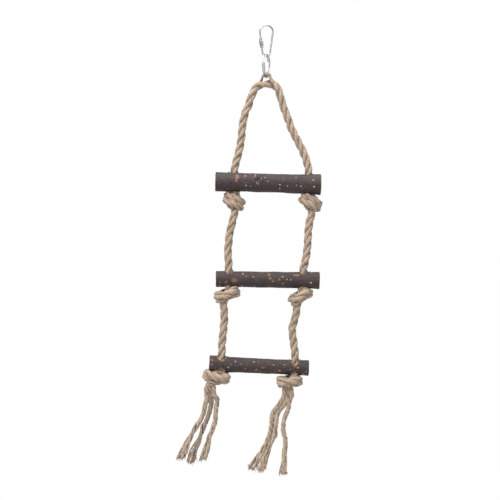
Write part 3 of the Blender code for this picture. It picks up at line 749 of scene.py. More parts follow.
# ---- places, from the frame ---------------------------------------------------
JOINTS = {joint["name"]: joint for joint in frame["joints"]}


def joint_place(name):
    return np.array(JOINTS[name]["pos_m"], float)


def box_middle(node):
    low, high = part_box(node)
    return np.array((low + high) / 2.0, float)


def rung_directions(number):
    """The rung's directions to the right and up."""
    tilt = math.radians(RUNGS[number]["tilt"])
    right = np.array((math.cos(tilt), 0.0, -math.sin(tilt)))
    return right, np.array((math.sin(tilt), 0.0, math.cos(tilt)))


def hole_point(number, side, share):
    """On the hole's axis: share 1 at its mouth and -1 at its foot."""
    node = "rope_in_rung_%d_%s" % (number, side)
    tilt = math.radians(RUNGS[number]["tilt"])
    low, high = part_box(node)
    half = (high.z - low.z - ROPE_D * math.sin(tilt)) / (2.0 * math.cos(tilt)) + GAP
    return box_middle(node) + rung_directions(number)[1] * half * share


def above_mouth(number, side):
    up = rung_directions(number)[1]
    return hole_point(number, side, 1.0) + up * STRAIGHT_OUT_OF_HOLE


def knot_middle(number, side):
    return box_middle("knot_%d_%s" % (number, side))


def knot_exit(number, side):
    """Where the rope leaves the knot, clear of its underside over the rope's width."""
    knot = KNOTS[(side, number)]
    tilt = math.radians(knot["tilt"])
    turn = np.linspace(0.0, TURN, 721)
    long_way = knot["half_l"] * np.cos(turn)
    high_way = knot["half_h"] * np.sin(turn)
    x = long_way * math.cos(tilt) - high_way * math.sin(tilt)
    z = long_way * math.sin(tilt) + high_way * math.cos(tilt)
    under = z[np.abs(x - knot["exit"]) <= ROPE_D / 2.0].min()
    return knot_middle(number, side) + (knot["exit"], 0.0, under - ROPE_BELOW_KNOT)


def crown_point():
    drop = RING_WIRE_D / 2.0 + CROWN_UNDER_RING + ROPE_D / 2.0
    return joint_place("loop_sway") - UP * drop


def route_between(first, last, offsets, outward):
    """Points off the straight line from first to last, in the rope's plane."""
    along = last - first
    across = unit(np.array((along[2], 0.0, -along[0])))
    if across[0] * outward < 0.0:
        across = -across
    return [first, *(first + along * share + across * off for share, off in offsets), last]


def loop_path():
    """From inside the top rung on the left, over the crown, to inside it on the right."""
    legs = {side: route_between(above_mouth(1, side), crown_point(), LOOP_ROUTE[side],
                                OUTWARD[side]) for side in SIDES}
    points = [hole_point(1, "left", INTO_HOLE), hole_point(1, "left", 1.0), *legs["left"],
              *legs["right"][-2::-1], hole_point(1, "right", 1.0),
              hole_point(1, "right", INTO_HOLE)]
    return Path(smooth_curve(points))


def bay_path(number, side):
    """From inside a knot to inside the hole in the next rung."""
    start = knot_exit(number, side)
    route = route_between(start, above_mouth(number + 1, side), BAY_ROUTE[(side, number)],
                          OUTWARD[side])
    inside = start + unit(start - route[1]) * INTO_KNOT
    points = [inside, *route, hole_point(number + 1, side, 1.0),
              hole_point(number + 1, side, INTO_HOLE)]
    return Path(smooth_curve(points))


def tail_hinge(side, strand):
    return joint_place("tail_%s_%d_swing" % (side, strand + 1))


# ---- laid rope ----------------------------------------------------------------
INTO_KNOT = 5.0 * MM            # how far a bay's rope starts inside its knot
RING_STEP = 0.75 * MM           # from one ring of a strand's tube to the next
STRAND_SIDES = 24
YARN_TWIST = -330.0             # radians a metre that a yarn turns in its strand
FLATTENED = 1.10                # a slanting strand, cut straight across the rope
INTO_HOLE = 0.4                 # where the ropes above end in a hole: 1 mouth, 0 middle
FUZZ_POINTS = 7
LOWER_PIECE = 7.5 * MM          # of a bay's rope, above the hole that it goes into
ROOM_TO_SWAY = 0.5 * MM         # between the lifted strand's sides and the ring


class LaidRope:
    """Three strands wound right-handed round a path."""

    def __init__(self, path, lay_length, start_turn=0.0, scale=1.0):
        self.path = path
        rate = TURN / np.broadcast_to(lay_length, path.at.shape)
        steps = np.diff(path.at) * (rate[1:] + rate[:-1]) / 2.0
        self.turn = start_turn + np.concatenate(([0.0], np.cumsum(steps)))
        self.scale = np.broadcast_to(scale, path.at.shape)

    def turn_at(self, distance):
        return np.interp(distance, self.path.at, self.turn)

    def frame_at(self, distances, strand, shift=0.0):
        """A strand's middle, outward and sideways directions and its scale."""
        rope = bpy.context.scene.ladder_rope
        centre, across, side = self.path.sample(distances)
        turn = (self.turn_at(distances) + strand * TURN / 3.0 + shift)[:, None]
        out = np.cos(turn) * across + np.sin(turn) * side
        sideways = np.cos(turn) * side - np.sin(turn) * across
        scale = np.interp(distances, self.path.at, self.scale)
        reach = (ROPE_D - rope.strand_d) / 2.0 * scale
        reach = reach * (1.0 + 0.05 * wobble(distances, strand + 5.0, 31.0 * MM))
        return centre + out * reach[:, None], out, sideways, scale

    def add_strand(self, gather, distances, strand, shift=0.0, swell=1.0, moved=None):
        centre, out, sideways, scale = self.frame_at(distances, strand, shift)
        if moved is not None:
            centre, out, sideways = moved(distances, centre, out, sideways)
        rope = bpy.context.scene.ladder_rope
        radius = rope.strand_d / 2.0 * scale * swell
        radius = radius * (1.0 + 0.05 * wobble(distances, strand))
        theta = math.pi + np.linspace(0.0, TURN, STRAND_SIDES + 1)
        twist = (YARN_TWIST * distances)[:, None]
        yarn = np.abs(np.cos(rope.yarns / 2.0 * (theta - twist)))
        full = radius[:, None] * (1.0 + rope.ridge * (yarn - 0.6))
        rings = (centre[:, None]
                 + (full * np.cos(theta))[:, :-1, None] * out[:, None]
                 + (full * FLATTENED * np.sin(theta))[:, :-1, None] * sideways[:, None])
        around = (theta - twist) * radius[:, None] * MAP_SCALE
        # Painted shade: darker where the strand's surface turns in towards the rope's
        # middle, in the grooves between the strands.
        groove_shade = np.minimum(0.0, np.cos(theta[:-1]) - 0.62)
        tone_and_shade = 0.54 + 0.17 * wobble(distances, strand * 3.0 + 2.0, 17.0 * MM)
        # The slow wobble is the jute's own uneven colour; the yarn term paints light on the
        # tops of the yarn ridges and shade between them.
        tone_and_shade = tone_and_shade[:, None] + 0.26 * groove_shade + 0.26 * (yarn[:, :-1] - 0.6)
        gather.tube(rings, around, distances * MAP_SCALE, tone_and_shade)


def ring_distances(start, end):
    count = max(3, int(round((end - start) / RING_STEP)) + 1)
    return np.linspace(start, end, count)


def add_fuzz(gather, path, start, end, seed, reach=ROPE_D / 2.0, share=1.0):
    """Fine stray fibres that lie along the rope and lift off its surface."""
    random = np.random.default_rng(seed)
    per_mm = bpy.context.scene.ladder_rope.fuzz_per_mm * share
    for _ in range(int((end - start) / MM * per_mm)):
        length = random.uniform(2.0, 8.0) * MM
        first = random.uniform(start, max(start, end - length))
        share_along = np.linspace(0.0, 1.0, FUZZ_POINTS)
        distances = first + length * share_along * random.uniform(0.5, 1.0)
        distances = np.minimum(distances, end)
        centre, across, side = path.sample(distances)
        angle = random.uniform(0.0, TURN) + share_along * random.normal(0.0, 0.9)
        lift = random.uniform(0.1, 1.3) * MM
        free_end = random.random() < 0.6
        shape = share_along ** 2 if free_end else np.sin(math.pi * share_along)
        height = reach * 0.92 + lift * shape
        out = np.cos(angle)[:, None] * across + np.sin(angle)[:, None] * side
        points = centre + out * height[:, None]
        if np.diff(distances_along(points)).min() < 0.001 * MM:
            continue
        radius = np.linspace(0.055, 0.03, FUZZ_POINTS) * MM * random.uniform(0.6, 1.2)
        plain_tube(gather, points, radius, 3, random.uniform(0.3, 0.95),
                   across=out[0])


def build_loop():
    """The loop over the ring, with one strand lifted off the crown."""
    path = loop_path()
    crown = path.nearest(crown_point())
    rope = bpy.context.scene.ladder_rope
    slack = ease(1.0 - np.abs(path.at - crown) / (60.0 * MM))
    lay = rope.lay_length + (rope.loop_lay_length - rope.lay_length) * slack
    laid = LaidRope(path, lay)
    laid.turn = laid.turn - laid.turn_at(crown) + TURN / 4.0
    parted = 0.72 * CROWN_HALF_LENGTH
    lifted = Gather()
    gather = Gather()

    def opened(distances):
        return ease(1.5 - np.abs(distances - crown) / CROWN_HALF_LENGTH)

    whole = ring_distances(0.0, path.length)
    for strand, shift in ((1, 0.42), (2, 0.62)):
        laid.add_strand(gather, whole, strand, opened(whole) * shift,
                        1.0 + 0.22 * opened(whole))
    laid.add_strand(gather, ring_distances(0.0, crown - parted), 0)
    laid.add_strand(gather, ring_distances(crown + parted, path.length), 0)
    add_fuzz(gather, path, 0.0, path.length, 3)

    arch = Path(smooth_curve(arch_points()))

    def over_the_ring(distances, centre, out, sideways):
        share = (distances - crown) / (2.0 * parted) + 0.5
        weight = ease((1.0 - np.abs(2.0 * share - 1.0)) / 0.42)[:, None]
        target, _, _ = arch.sample(share * arch.length)
        centre = centre + (target - centre) * weight
        tangent = unit(np.gradient(centre, axis=0))
        lean = out - tangent * np.sum(out * tangent, 1, keepdims=True) * weight
        cross = (sideways - tangent * np.sum(sideways * tangent, 1, keepdims=True)
                 * weight)
        return centre, unit(lean), unit(cross)

    steps = ring_distances(crown - parted, crown + parted)
    laid.add_strand(lifted, steps, 0, moved=over_the_ring,
                    swell=0.84 + 0.30 * ease((steps - crown) / parted))
    jute = material("rope_jute")
    loop = gather.build("rope_loop", jute)
    strand = lifted.build("lifted_strand", jute)
    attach(strand, "loop")
    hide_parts("crown_strand")
    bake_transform(loop)
    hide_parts("rope_loop_left", "rope_loop_right", "rope_crown",
                "rope_bend_over_rung_1_left", "rope_bend_over_rung_1_right")


def arch_points():
    """The lifted strand's way over the ring's two coils."""
    top = joint_place("loop_sway")[2] + RING_WIRE_D / 2.0 + STRAND_ON_RING + STRAND_D / 2.0
    beside = (RING_COIL_PITCH + RING_WIRE_D + STRAND_D) / 2.0 + ROOM_TO_SWAY
    foot = crown_point()[2] + ROPE_D / 2.0 + GAP + STRAND_D / 2.0
    half = [(0.5 * beside, 0.45 * MM), (beside, 2.1 * MM)]
    foot_x = CROWN_HALF_LENGTH * 0.44
    left = [(-foot_x - 1.7 * MM, 1.0 * MM, foot - 3.7 * MM),
            (-foot_x, 0.6 * MM, foot - 0.7 * MM)]
    left += [(-x, 0.3 * MM, top - down) for x, down in reversed(half)]
    right = [(x, -0.3 * MM, top - down) for x, down in half]
    right += [(foot_x, -0.9 * MM, foot - 0.7 * MM),
              (foot_x + 2.2 * MM, -1.6 * MM, foot - 3.5 * MM)]
    return [*left, (0.0, 0.0, top), *right]


def build_bay(number, side):
    """One rope of a bay: an upper piece from the knot and a lower one into the rung."""
    path = bay_path(number, side)
    rope = bpy.context.scene.ladder_rope
    laid = LaidRope(path, rope.lay_length, start_turn=0.9 * number + OUTWARD[side])
    mouth = path.nearest(hole_point(number + 1, side, 1.0))
    split = mouth - LOWER_PIECE
    pieces = []
    for start, end, label in ((0.0, split, "upper"), (split, path.length, "lower")):
        gather = Gather()
        for strand in range(3):
            laid.add_strand(gather, ring_distances(start, end), strand)
        seed = number * 7 + len(label) + int(start > 0)
        add_fuzz(gather, path, start, min(end, mouth), seed)
        pieces.append(gather.build("bay_rope_%d_%s_%s" % (number, side, label),
                                   material("rope_jute")))
    upper, lower = pieces
    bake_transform(upper)
    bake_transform(lower)
    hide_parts("rope_bend_under_knot_%d_%s" % (number, side),
                "rope_bay_%d_%s" % (number, side))
    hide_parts("rope_bend_over_rung_%d_%s" % (number + 1, side))
    centreline = path.sample(ring_distances(0.0, split))[0]


# ---- knots --------------------------------------------------------------------
COIL_TURNS = 1.5                # an overhand knot: one and a half turns round itself
COIL_STEPS = 12
COIL_HALF_WIDTH = 1.42          # in rope diameters, to the middle of the outer turns


def overhand_shape():
    """The way through an overhand knot in rope diameters, top to bottom.

    The rope goes down inside the knot, out at the right, up round itself with the
    front first, in at the top left and down inside again.
    """
    shape = [(0.5, 0.0, 0.9), (0.55, 0.0, 0.1), (0.8, 0.1, -0.75)]
    for i in range(COIL_STEPS + 1):
        share = i / COIL_STEPS
        turn = math.radians(10.0) - (COIL_TURNS * TURN + math.radians(20.0)) * share
        shape.append((COIL_HALF_WIDTH * math.cos(turn), math.sin(turn),
                      -1.0 + 2.0 * share))
    shape += [(-0.8, 0.1, 0.75), (-0.55, 0.0, -0.1), (-0.5, 0.0, -0.9)]
    return np.array(shape)


def knot_path(number, side):
    """From the rung's hole through the knot to just inside where the rope leaves it."""
    knot = KNOTS[(side, number)]
    shape = overhand_shape()
    if knot["mirror"]:
        shape[:, 0] *= -1.0
    if knot["yaw"]:
        shape[:, :2] *= -1.0
    shape *= np.array(knot["reach"]) / np.abs(shape).max(axis=0)
    lean = math.radians(knot["lean"])
    x, z = shape[:, 0].copy(), shape[:, 2].copy()
    shape[:, 0] = x * math.cos(lean) - z * math.sin(lean)
    shape[:, 2] = x * math.sin(lean) + z * math.cos(lean)
    middle = knot_middle(number, side) + (knot["shift"][0], 0.0, knot["shift"][1])
    leaving = knot_exit(number, side)
    top = [hole_point(number, side, share) for share in (0.7, 0.0, -0.8)]
    points = [*top, *(middle + shape), leaving + UP * INTO_KNOT * 0.7,
              leaving + UP * 1.5 * MM]
    return Path(smooth_curve(points, 10))


def build_knot(number, side):
    """An overhand knot under the rung, with the rope in the rung's hole above it."""
    path = knot_path(number, side)
    rope = bpy.context.scene.ladder_rope
    foot = path.nearest(hole_point(number, side, -1.0))
    thick = KNOTS[(side, number)]["thick"]
    tight = 1.0 + (thick - 1.0) * ease((path.at - foot) / (5.0 * MM))
    laid = LaidRope(path, rope.lay_length * 0.92, start_turn=1.3 * number, scale=tight)
    gather = Gather()
    for strand in range(3):
        laid.add_strand(gather, ring_distances(0.0, path.length), strand)
    add_fuzz(gather, path, foot + 4.0 * MM, path.length, number * 11 + len(side),
             ROPE_D * thick / 2.0)
    obj = gather.build("knot_and_rope_%d_%s" % (number, side), material("rope_jute"))
    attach(obj, "rung_%d" % number)
    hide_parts("knot_%d_%s" % (number, side), "rope_in_rung_%d_%s" % (number, side))


# ---- tails --------------------------------------------------------------------
YARN_COUNT = 6
YARN_R = 0.82 * MM
YARN_REACH = 1.36 * MM          # from a loose strand's middle to its yarns' middles
YARN_TURN_LENGTH = 17.0 * MM    # of one turn of the yarns round each other
YARN_RIDGE_TWIST = 420.0        # radians a metre that a yarn's ridges turn round it
FRAY_LENGTH = 30.0 * MM
FRAY_SPREAD = 2.5 * MM
STRAY_LENGTH = 46.0 * MM        # one yarn comes loose higher up
BRUSH_LENGTH = 2.0 * MM         # of a tail's route, where there are only cut fibres
BRUSH_FIBRES = 16


def tail_path(side, strand):
    hinge = tail_hinge(side, strand)
    depth = 0.9 if strand == 1 else -0.5
    top = hinge + np.array((-(strand - 1) * 1.3 * MM, depth * MM, 7.0 * MM))
    points = [top, hinge + UP * 2.0 * MM, hinge - UP * TAIL_HINGE_ROOM]
    points += [hinge + np.array((right * MM, 0.0, -down * MM))
               for right, down in TAIL_ROUTES[side][strand]]
    return Path(smooth_curve(points))


def loosened(steps, length):
    """From 0 to 1 as the yarns come apart over the last of a tail."""
    return ease((steps - (steps[-1] - length)) / FRAY_LENGTH)


def yarn_points(path, steps, thick, yarn, strand, aside, random):
    """A yarn's way round its strand, and out to its own place where it frays."""
    centre, across, sideways = path.sample(steps)
    fray = loosened(steps, FRAY_LENGTH)
    loose = loosened(steps, STRAY_LENGTH) if yarn == 0 else fray
    turn = yarn * TURN / YARN_COUNT + random.normal(0.0, 0.15)
    turn = turn - steps / YARN_TURN_LENGTH * TURN * (1.0 - 0.16 * fray)
    turn = turn + 0.25 * wobble(steps, yarn + strand, 19.0 * MM)
    reach = YARN_REACH * thick * (1.0 + 0.12 * wobble(steps, yarn + 9.0, 15.0 * MM))
    reach = reach * (1.0 - 0.55 * loose)
    out = np.cos(turn)[:, None] * across + np.sin(turn)[:, None] * sideways
    points = centre + out * reach[:, None]
    points[:, 0] += aside * loose
    points[:, 1] += loose * random.uniform(-0.8, 0.8) * MM
    points[:, 2] += fray ** 2 * random.uniform(-1.4, 0.8) * MM
    return points


def build_tail_strand(side, strand):
    """A strand of loosely twisted yarns that fray into fibres at the end."""
    path = tail_path(side, strand)
    random = np.random.default_rng(20 + 3 * SIDES.index(side) + strand)
    yarns = Gather()
    fibres = Gather()
    end = path.length - BRUSH_LENGTH
    steps = ring_distances(0.0, end)
    thick = 1.0 + 0.12 * ease((26.0 * MM - steps) / (18.0 * MM))
    order = random.permutation(YARN_COUNT)
    for yarn in range(YARN_COUNT):
        aside = (order[yarn] / (YARN_COUNT - 1.0) * 2.0 - 1.0) * FRAY_SPREAD
        points = yarn_points(path, steps, thick, yarn, strand, aside, random)
        radius = YARN_R * thick * (1.0 + 0.10 * wobble(steps, yarn * 2.0, 9.0 * MM))
        radius = radius * (1.0 + 0.05 * loosened(steps, FRAY_LENGTH))
        add_yarn(yarns, points, radius, yarn, random.uniform(0.22, 0.86))
        add_brush(fibres, points[-5], unit(points[-1] - points[-6]), random)
    add_fuzz(yarns, path, 4.0 * MM, end - FRAY_LENGTH / 2.0, 40 + strand, 2.1 * MM, 0.9)
    label = "%s_%d" % (side, strand + 1)
    # The left tail's middle strand takes the copy of the tail jute darkened as painted
    # shade.
    dark_and_shade = side == "left" and strand == 1
    jute = material("shaded_tail_jute" if dark_and_shade else "tail_jute")
    tail = yarns.build("tail_yarns_" + label, jute)
    brush = fibres.build("frayed_end_" + label, jute)
    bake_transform(tail)
    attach(brush, "tail_" + label)
    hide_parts("tail_strand_" + label)
    if strand == 1:
        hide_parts("tail_neck_" + side)
    [tuple(p) for p in path.sample(steps)[0]]


def add_yarn(gather, points, radius, seed, tone_and_shade, sides=9):
    """One yarn: a tube with fibre ridges that turn slowly round it."""
    level = unit(np.cross(unit(points[1] - points[0]), UP) + 1e-6)
    level = Path(points, level, spacing=1.0).across[0]
    at = distances_along(points)
    tangents = unit(np.gradient(points, axis=0))
    across = carried_across(tangents, level)
    side = np.cross(tangents, across)
    theta = np.linspace(0.0, TURN, sides + 1)
    twist = (at * YARN_RIDGE_TWIST)[:, None]
    full = radius[:, None] * (1.0 + 0.10 * np.cos(3.0 * (theta - twist)))
    rings = (points[:, None] + (full * np.cos(theta))[:, :-1, None] * across[:, None]
             + (full * np.sin(theta))[:, :-1, None] * side[:, None])
    around = (theta - twist * 0.6) * radius[:, None] * MAP_SCALE + seed * 3.1
    tone_and_shade = tone_and_shade + 0.15 * wobble(at, seed, 13.0 * MM)
    gather.tube(rings, around, at * MAP_SCALE, tone_and_shade)


def add_brush(gather, start, direction, random):
    """The fibres at a yarn's cut end, fanned out like a brush."""
    for _ in range(BRUSH_FIBRES):
        spread = unit(direction + random.normal(0.0, 0.13, 3) * (1.0, 0.7, 1.0))
        droop = random.normal(0.0, 0.8, 3) * MM
        length = random.uniform(2.6, 5.4) * MM
        share = np.linspace(0.0, 1.0, 6)[:, None]
        jump = random.normal(0.0, 0.38, 3) * MM
        points = start + jump + spread * length * share + droop * share ** 2
        radius = np.linspace(0.32, 0.14, 6) * MM * random.uniform(0.7, 1.2)
        plain_tube(gather, points, radius, 4, random.uniform(0.35, 0.9))


# ---- rungs --------------------------------------------------------------------
RUNG_ROUND = 176
RUNG_STEP = 0.36 * MM
END_CHAMFER = 0.45 * MM
CAP_RINGS = 9
STRAY_DOTS = 34                 # small dots anywhere on a rung, most at the back
STRAY_SCARS = 5                 # scars at the back


def mark_weight(along, height, radius, place, half_along, half_up):
    """1 in the middle of a mark on the rung's front and 0 at its edge."""
    mark_along, mark_height = place
    across = (along - mark_along * MM) / half_along
    upwards = (height - mark_height) * radius / half_up
    return np.clip(1.0 - np.hypot(across, upwards), 0.0, 1.0)


def rung_marks(number, along, turn, radius):
    """Masks for the corky dots and the scars."""
    random = np.random.default_rng(number)
    front = np.sin(turn) < 0.0
    height = np.cos(turn)
    dots = np.zeros_like(along)
    scars = np.zeros_like(along)
    for place in LENTICELS[number]:
        size = random.uniform(0.55, 1.05) * MM
        longer = random.uniform(0.75, 1.5)
        weight = mark_weight(along, height, radius, place, size * longer, size)
        dots = np.maximum(dots, weight * front * 1.5)
    for mark_along, mark_height, half_along, half_up in SCARS[number]:
        weight = mark_weight(along, height, radius, (mark_along, mark_height),
                             half_along * MM * 1.3, half_up * MM * 1.3)
        scars = np.maximum(scars, weight * front * 1.6)
    half = RUNGS[number]["length"] / 2.0
    for _ in range(STRAY_DOTS):
        spot = random.uniform(-half, half)
        bearing = random.uniform(0.0, TURN)
        size = random.uniform(0.5, 1.2) * MM
        if math.sin(bearing) < -0.2:
            size *= 0.4
        weight = spot_weight(along, turn, radius, spot, bearing, size)
        dots = np.maximum(dots, weight * 1.3)
    for _ in range(STRAY_SCARS):
        spot = random.uniform(-half, half)
        bearing = random.uniform(0.15, 0.85) * math.pi
        size = random.uniform(1.2, 2.6) * MM
        weight = spot_weight(along, turn, radius, spot, bearing, size, 1.3)
        scars = np.maximum(scars, weight * 1.5)
    return dots, scars


def spot_weight(along, turn, radius, spot, bearing, size, narrowed=1.0):
    """1 in the middle of a spot anywhere round the rung and 0 at its edge."""
    away = (turn - bearing + math.pi) % TURN - math.pi
    upwards = away * radius / size * narrowed
    return np.clip(1.0 - np.hypot((along - spot) / size, upwards), 0, 1)


def stub_relief(number, along, height, radius):
    """A cut-off branch: a raised lip round a slanting slit. Returns height and mask."""
    if BRANCH_STUB["rung"] != number:
        return np.zeros_like(along), np.zeros_like(along)
    x = (along - BRANCH_STUB["along"] * MM) / (BRANCH_STUB["half"] * MM)
    y = (height - BRANCH_STUB["height"]) * radius / (BRANCH_STUB["half"] * MM)
    bearing = np.arctan2(y, x)
    away = np.hypot(x * 1.05, y) * (1.0 + 0.13 * np.sin(2.0 * bearing + 1.0)
                                    + 0.07 * np.sin(5.0 * bearing))
    lip = np.exp(-((away - 0.82) / 0.20) ** 2) * 0.75 * MM
    bowl = np.exp(-(away / 0.62) ** 4) * 0.25 * MM
    slant = x * 0.80 + y * 0.60
    cross = -x * 0.60 + y * 0.80
    slit = np.exp(-(cross / 0.10) ** 2 - (slant / 0.55) ** 2) * 1.2 * MM
    edge = np.exp(-((away - 0.86) / 0.16) ** 2)
    beside = np.exp(-(cross / 0.34) ** 2 - (slant / 0.6) ** 2)
    patchy = 0.68 + 0.32 * np.sin(3.0 * bearing + 0.6)
    mask = np.maximum(edge * patchy, 0.8 * beside)
    return lip + bowl - slit, mask * (1.0 - np.clip(slit / (0.4 * MM), 0, 1))


def rung_relief(along, turn, radius, number):
    """The bark's slow swellings and fine lengthwise wrinkles."""
    relief = np.empty(along.shape)
    for index in np.ndindex(along.shape):
        x = along[index] / MM
        y = radius[index] / MM * math.cos(turn[index])
        z = radius[index] / MM * math.sin(turn[index])
        slow = noise.noise(Vector((x * 0.09 + number * 9.0, y * 0.16, z * 0.16)))
        fine = noise.noise(Vector((x * 0.45, y * 1.1 + number * 5.0, z * 1.1)))
        relief[index] = slow + 0.35 * fine
    return relief * bpy.context.scene.ladder_rungs.relief * 1.6


def drill(obj, number):
    """Bores both rope holes with a boolean and keeps the bored mesh."""
    up = Vector(rung_directions(number)[1])
    cutters = []
    for side in SIDES:
        build = bmesh.new()
        bmesh.ops.create_cone(build, cap_ends=True, segments=56, depth=30.0 * MM,
                              radius1=HOLE_R, radius2=HOLE_R)
        bmesh.ops.rotate(build, verts=build.verts,
                         matrix=Vector((0, 0, 1)).rotation_difference(up).to_matrix())
        bmesh.ops.translate(build, verts=build.verts,
                            vec=Vector(hole_point(number, side, 0.0)))
        for face in build.faces:
            face.material_index = 2
        mesh = bpy.data.meshes.new("bit")
        build.to_mesh(mesh)
        build.free()
        cutter = add_object("bit", mesh, *obj.data.materials)
        cutters.append(cutter)
        cut = obj.modifiers.new("bore", "BOOLEAN")
        cut.operation = "DIFFERENCE"
        cut.solver = "EXACT"
        cut.object = cutter
    graph = bpy.context.evaluated_depsgraph_get()
    bored = bpy.data.meshes.new_from_object(obj.evaluated_get(graph))
    obj.modifiers.clear()
    obj.data = bored
    for cutter in cutters:
        bpy.data.objects.remove(cutter)


def rung_grid(number):
    """Places all over a rung: how far along it, which way round and the radius there.

    The last value is how far out they lie as a share of that radius: it is 1 on the
    bark and falls towards 0 over the sawn ends.
    """
    rung = RUNGS[number]
    half = rung["length"] / 2.0
    count = int(rung["length"] / RUNG_STEP)
    body = np.linspace(-half + END_CHAMFER, half - END_CHAMFER, count)
    cap = np.linspace(0.04, 1.0, CAP_RINGS)
    along = np.concatenate((np.full(CAP_RINGS, -half), body, np.full(CAP_RINGS, half)))
    share = np.concatenate((cap, np.ones(count), cap[::-1]))
    share[[CAP_RINGS - 1, -CAP_RINGS]] = 1.0 - END_CHAMFER / rung["left_d"] * 1.6
    turn = np.linspace(0.0, TURN, RUNG_ROUND, endpoint=False)
    along, turn = np.meshgrid(along, turn, indexing="ij")
    radius = (rung["left_d"] + (rung["right_d"] - rung["left_d"])
              * (along / rung["length"] + 0.5)) / 2.0
    radius = radius - rung["waist"] * (1.0 - (along / half) ** 2)
    radius = radius + rung["flare"] * ease((along - half) / (8.0 * MM) + 1.0)
    return along, turn, radius, share[:, None]


def rung_object(number, rings, along):
    """The rung's mesh, with bark round it and sawn wood over its ends."""
    count = len(rings)
    around = np.broadcast_to(np.linspace(0, 1, RUNG_ROUND + 1), (count, RUNG_ROUND + 1))
    gather = Gather()
    gather.tube(rings, around, along[:, 0] * MAP_SCALE)
    rows = np.arange(count - 1)
    sawn = (rows < CAP_RINGS - 1) | (rows >= count - CAP_RINGS)
    slots = np.repeat(np.where(sawn, 1, 0), RUNG_ROUND).tolist() + [1, 1]
    return gather.build("bark_rung_%d" % number, material("rung_bark"),
                        material("sawn_end"), material("drilled_wood"), slots=slots)


def bare_rim(number, rings, along, turn, radius):
    """Where bare wood shows: at the rung's ends and torn round its holes."""
    up = rung_directions(number)[1]
    half = RUNGS[number]["length"] / 2.0
    rim = np.clip(1.0 - (half - np.abs(along)) / (1.1 * MM), 0, 1)
    rim = rim * np.where((number == 1) & (along > 0.0) & (np.cos(turn) > 0.0), 1.0, 0.62)
    ragged = 1.0 + 0.8 * np.sin(7.0 * turn * radius / MM + number)
    for side in SIDES:
        away = rings - hole_point(number, side, 0.0)
        away = away - up * np.sum(away * up, -1, keepdims=True)
        distance = np.linalg.norm(away, axis=-1) - HOLE_R
        torn = (number == 3) & ((np.cos(turn) > 0.0) | (side == "left"))
        reach = np.where(torn, 1.2, 0.4) * MM * ragged
        rim = np.maximum(rim, np.clip(1.1 - distance / np.maximum(reach, 0.1 * MM), 0, 1))
    return rim


def build_rung(number):
    """A stick in its bark, sawn at both ends and drilled for the ropes."""
    right, up = rung_directions(number)
    along, turn, radius, share = rung_grid(number)
    front = np.sin(turn) < 0.0
    dots, scars = rung_marks(number, along, turn, radius)
    stub, stub_mask = stub_relief(number, along, np.cos(turn), radius)
    relief = rung_relief(along, turn, radius, number) - scars * 0.22 * MM
    relief = relief + np.clip(dots, 0, 1) * 0.16 * MM + stub * front
    dots = np.maximum(dots, 0.62 * stub_mask * front)
    full = (radius - 0.15 * MM + relief) * share
    waver = np.array([noise.noise(Vector((math.cos(t), math.sin(t), number)))
                      for t in turn[0]])
    at_end = np.abs(along) >= RUNGS[number]["length"] / 2.0
    end_rough = 0.25 * MM * waver[None, :] * share * at_end
    rings = (box_middle("rung_%d" % number)
             + right * (along - end_rough * np.sign(along))[..., None]
             + up * (full * np.cos(turn))[..., None]
             + BACK * (full * np.sin(turn))[..., None])
    rung = rung_object(number, rings, along)
    rim = bare_rim(number, rings, along, turn, radius)
    marks = np.stack((dots, scars, rim, np.broadcast_to(share, rim.shape)), -1)
    layer = rung.data.attributes.new("marks", "FLOAT_COLOR", "POINT")
    layer.data.foreach_set("color", marks.astype(np.float32).ravel())
    drill(rung, number)
    for piece in (rung, build_splinters(number)):
        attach(piece, "rung_%d" % number)
    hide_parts("rung_%d" % number)


def build_splinters(number):
    """Torn slivers of wood round the holes' mouths, most on the bottom rung."""
    random = np.random.default_rng(60 + number)
    up = rung_directions(number)[1]
    count = 26 if number == 3 else 9
    gather = Gather()
    for side in SIDES:
        for share in (1.0, -1.0):
            mouth = hole_point(number, side, share)
            for _ in range(count):
                add_splinter(gather, number, mouth, up * share, random)
    return gather.build("splinters_%d" % number, material("drilled_wood"))


def add_splinter(gather, number, mouth, outward, random):
    right = rung_directions(number)[0]
    low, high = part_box("rung_%d" % number)
    radius = (high.y - low.y) / 2.0
    bearing = random.uniform(0.0, TURN)
    out = right * math.cos(bearing) + BACK * math.sin(bearing)
    offset = out * (HOLE_R + random.uniform(0.0, 0.7) * MM)
    depth = offset[1] + (mouth[1] - box_middle("rung_%d" % number)[1])
    drop = radius - math.sqrt(max(0.0, radius ** 2 - depth ** 2))
    start = mouth + offset - outward * (drop + 0.35 * MM)
    way = unit(right * random.choice((-1.0, 1.0)) + outward * 0.35
               + out * 0.5 + random.normal(0.0, 0.25, 3))
    length = random.uniform(0.8, 2.4) * MM
    steps = np.linspace(0.0, 1.0, 5)[:, None]
    points = start + way * length * steps + outward * 0.3 * MM * steps ** 2
    width = np.array((0.16, 0.22, 0.17, 0.10, 0.03)) * MM
    plain_tube(gather, points, width * random.uniform(0.7, 1.3), 4)


# ---- link, sleeve and ring ----------------------------------------------------
LINK_SIDES = 28
RING_SIDES = 24
SHOULDER_BULGE = 0.25 * MM
SHOULDER_REACH = 1.6 * MM
SLEEVE_ROUND = 48
SLEEVE_WALL = 0.9 * MM
SLEEVE_PLAY = 0.28 * MM         # between the sleeve's bore and the wire


def arc_points(centre, radius, start, end, count):
    turn = np.linspace(start, end, count)
    return centre + radius * np.stack((np.cos(turn), 0.0 * turn, np.sin(turn)), 1)


def link_legs():
    """Top and bottom of the left leg's centreline."""
    top = np.array((-LINK_CROWN_R, 0.0, LINK_WIRE_D / 2.0 - LINK_CROWN_R))
    bottom = np.array((-LINK_BOTTOM_R, 0.0, joint_place("ring_swing")[2] + LINK_BOTTOM_R))
    return top, bottom


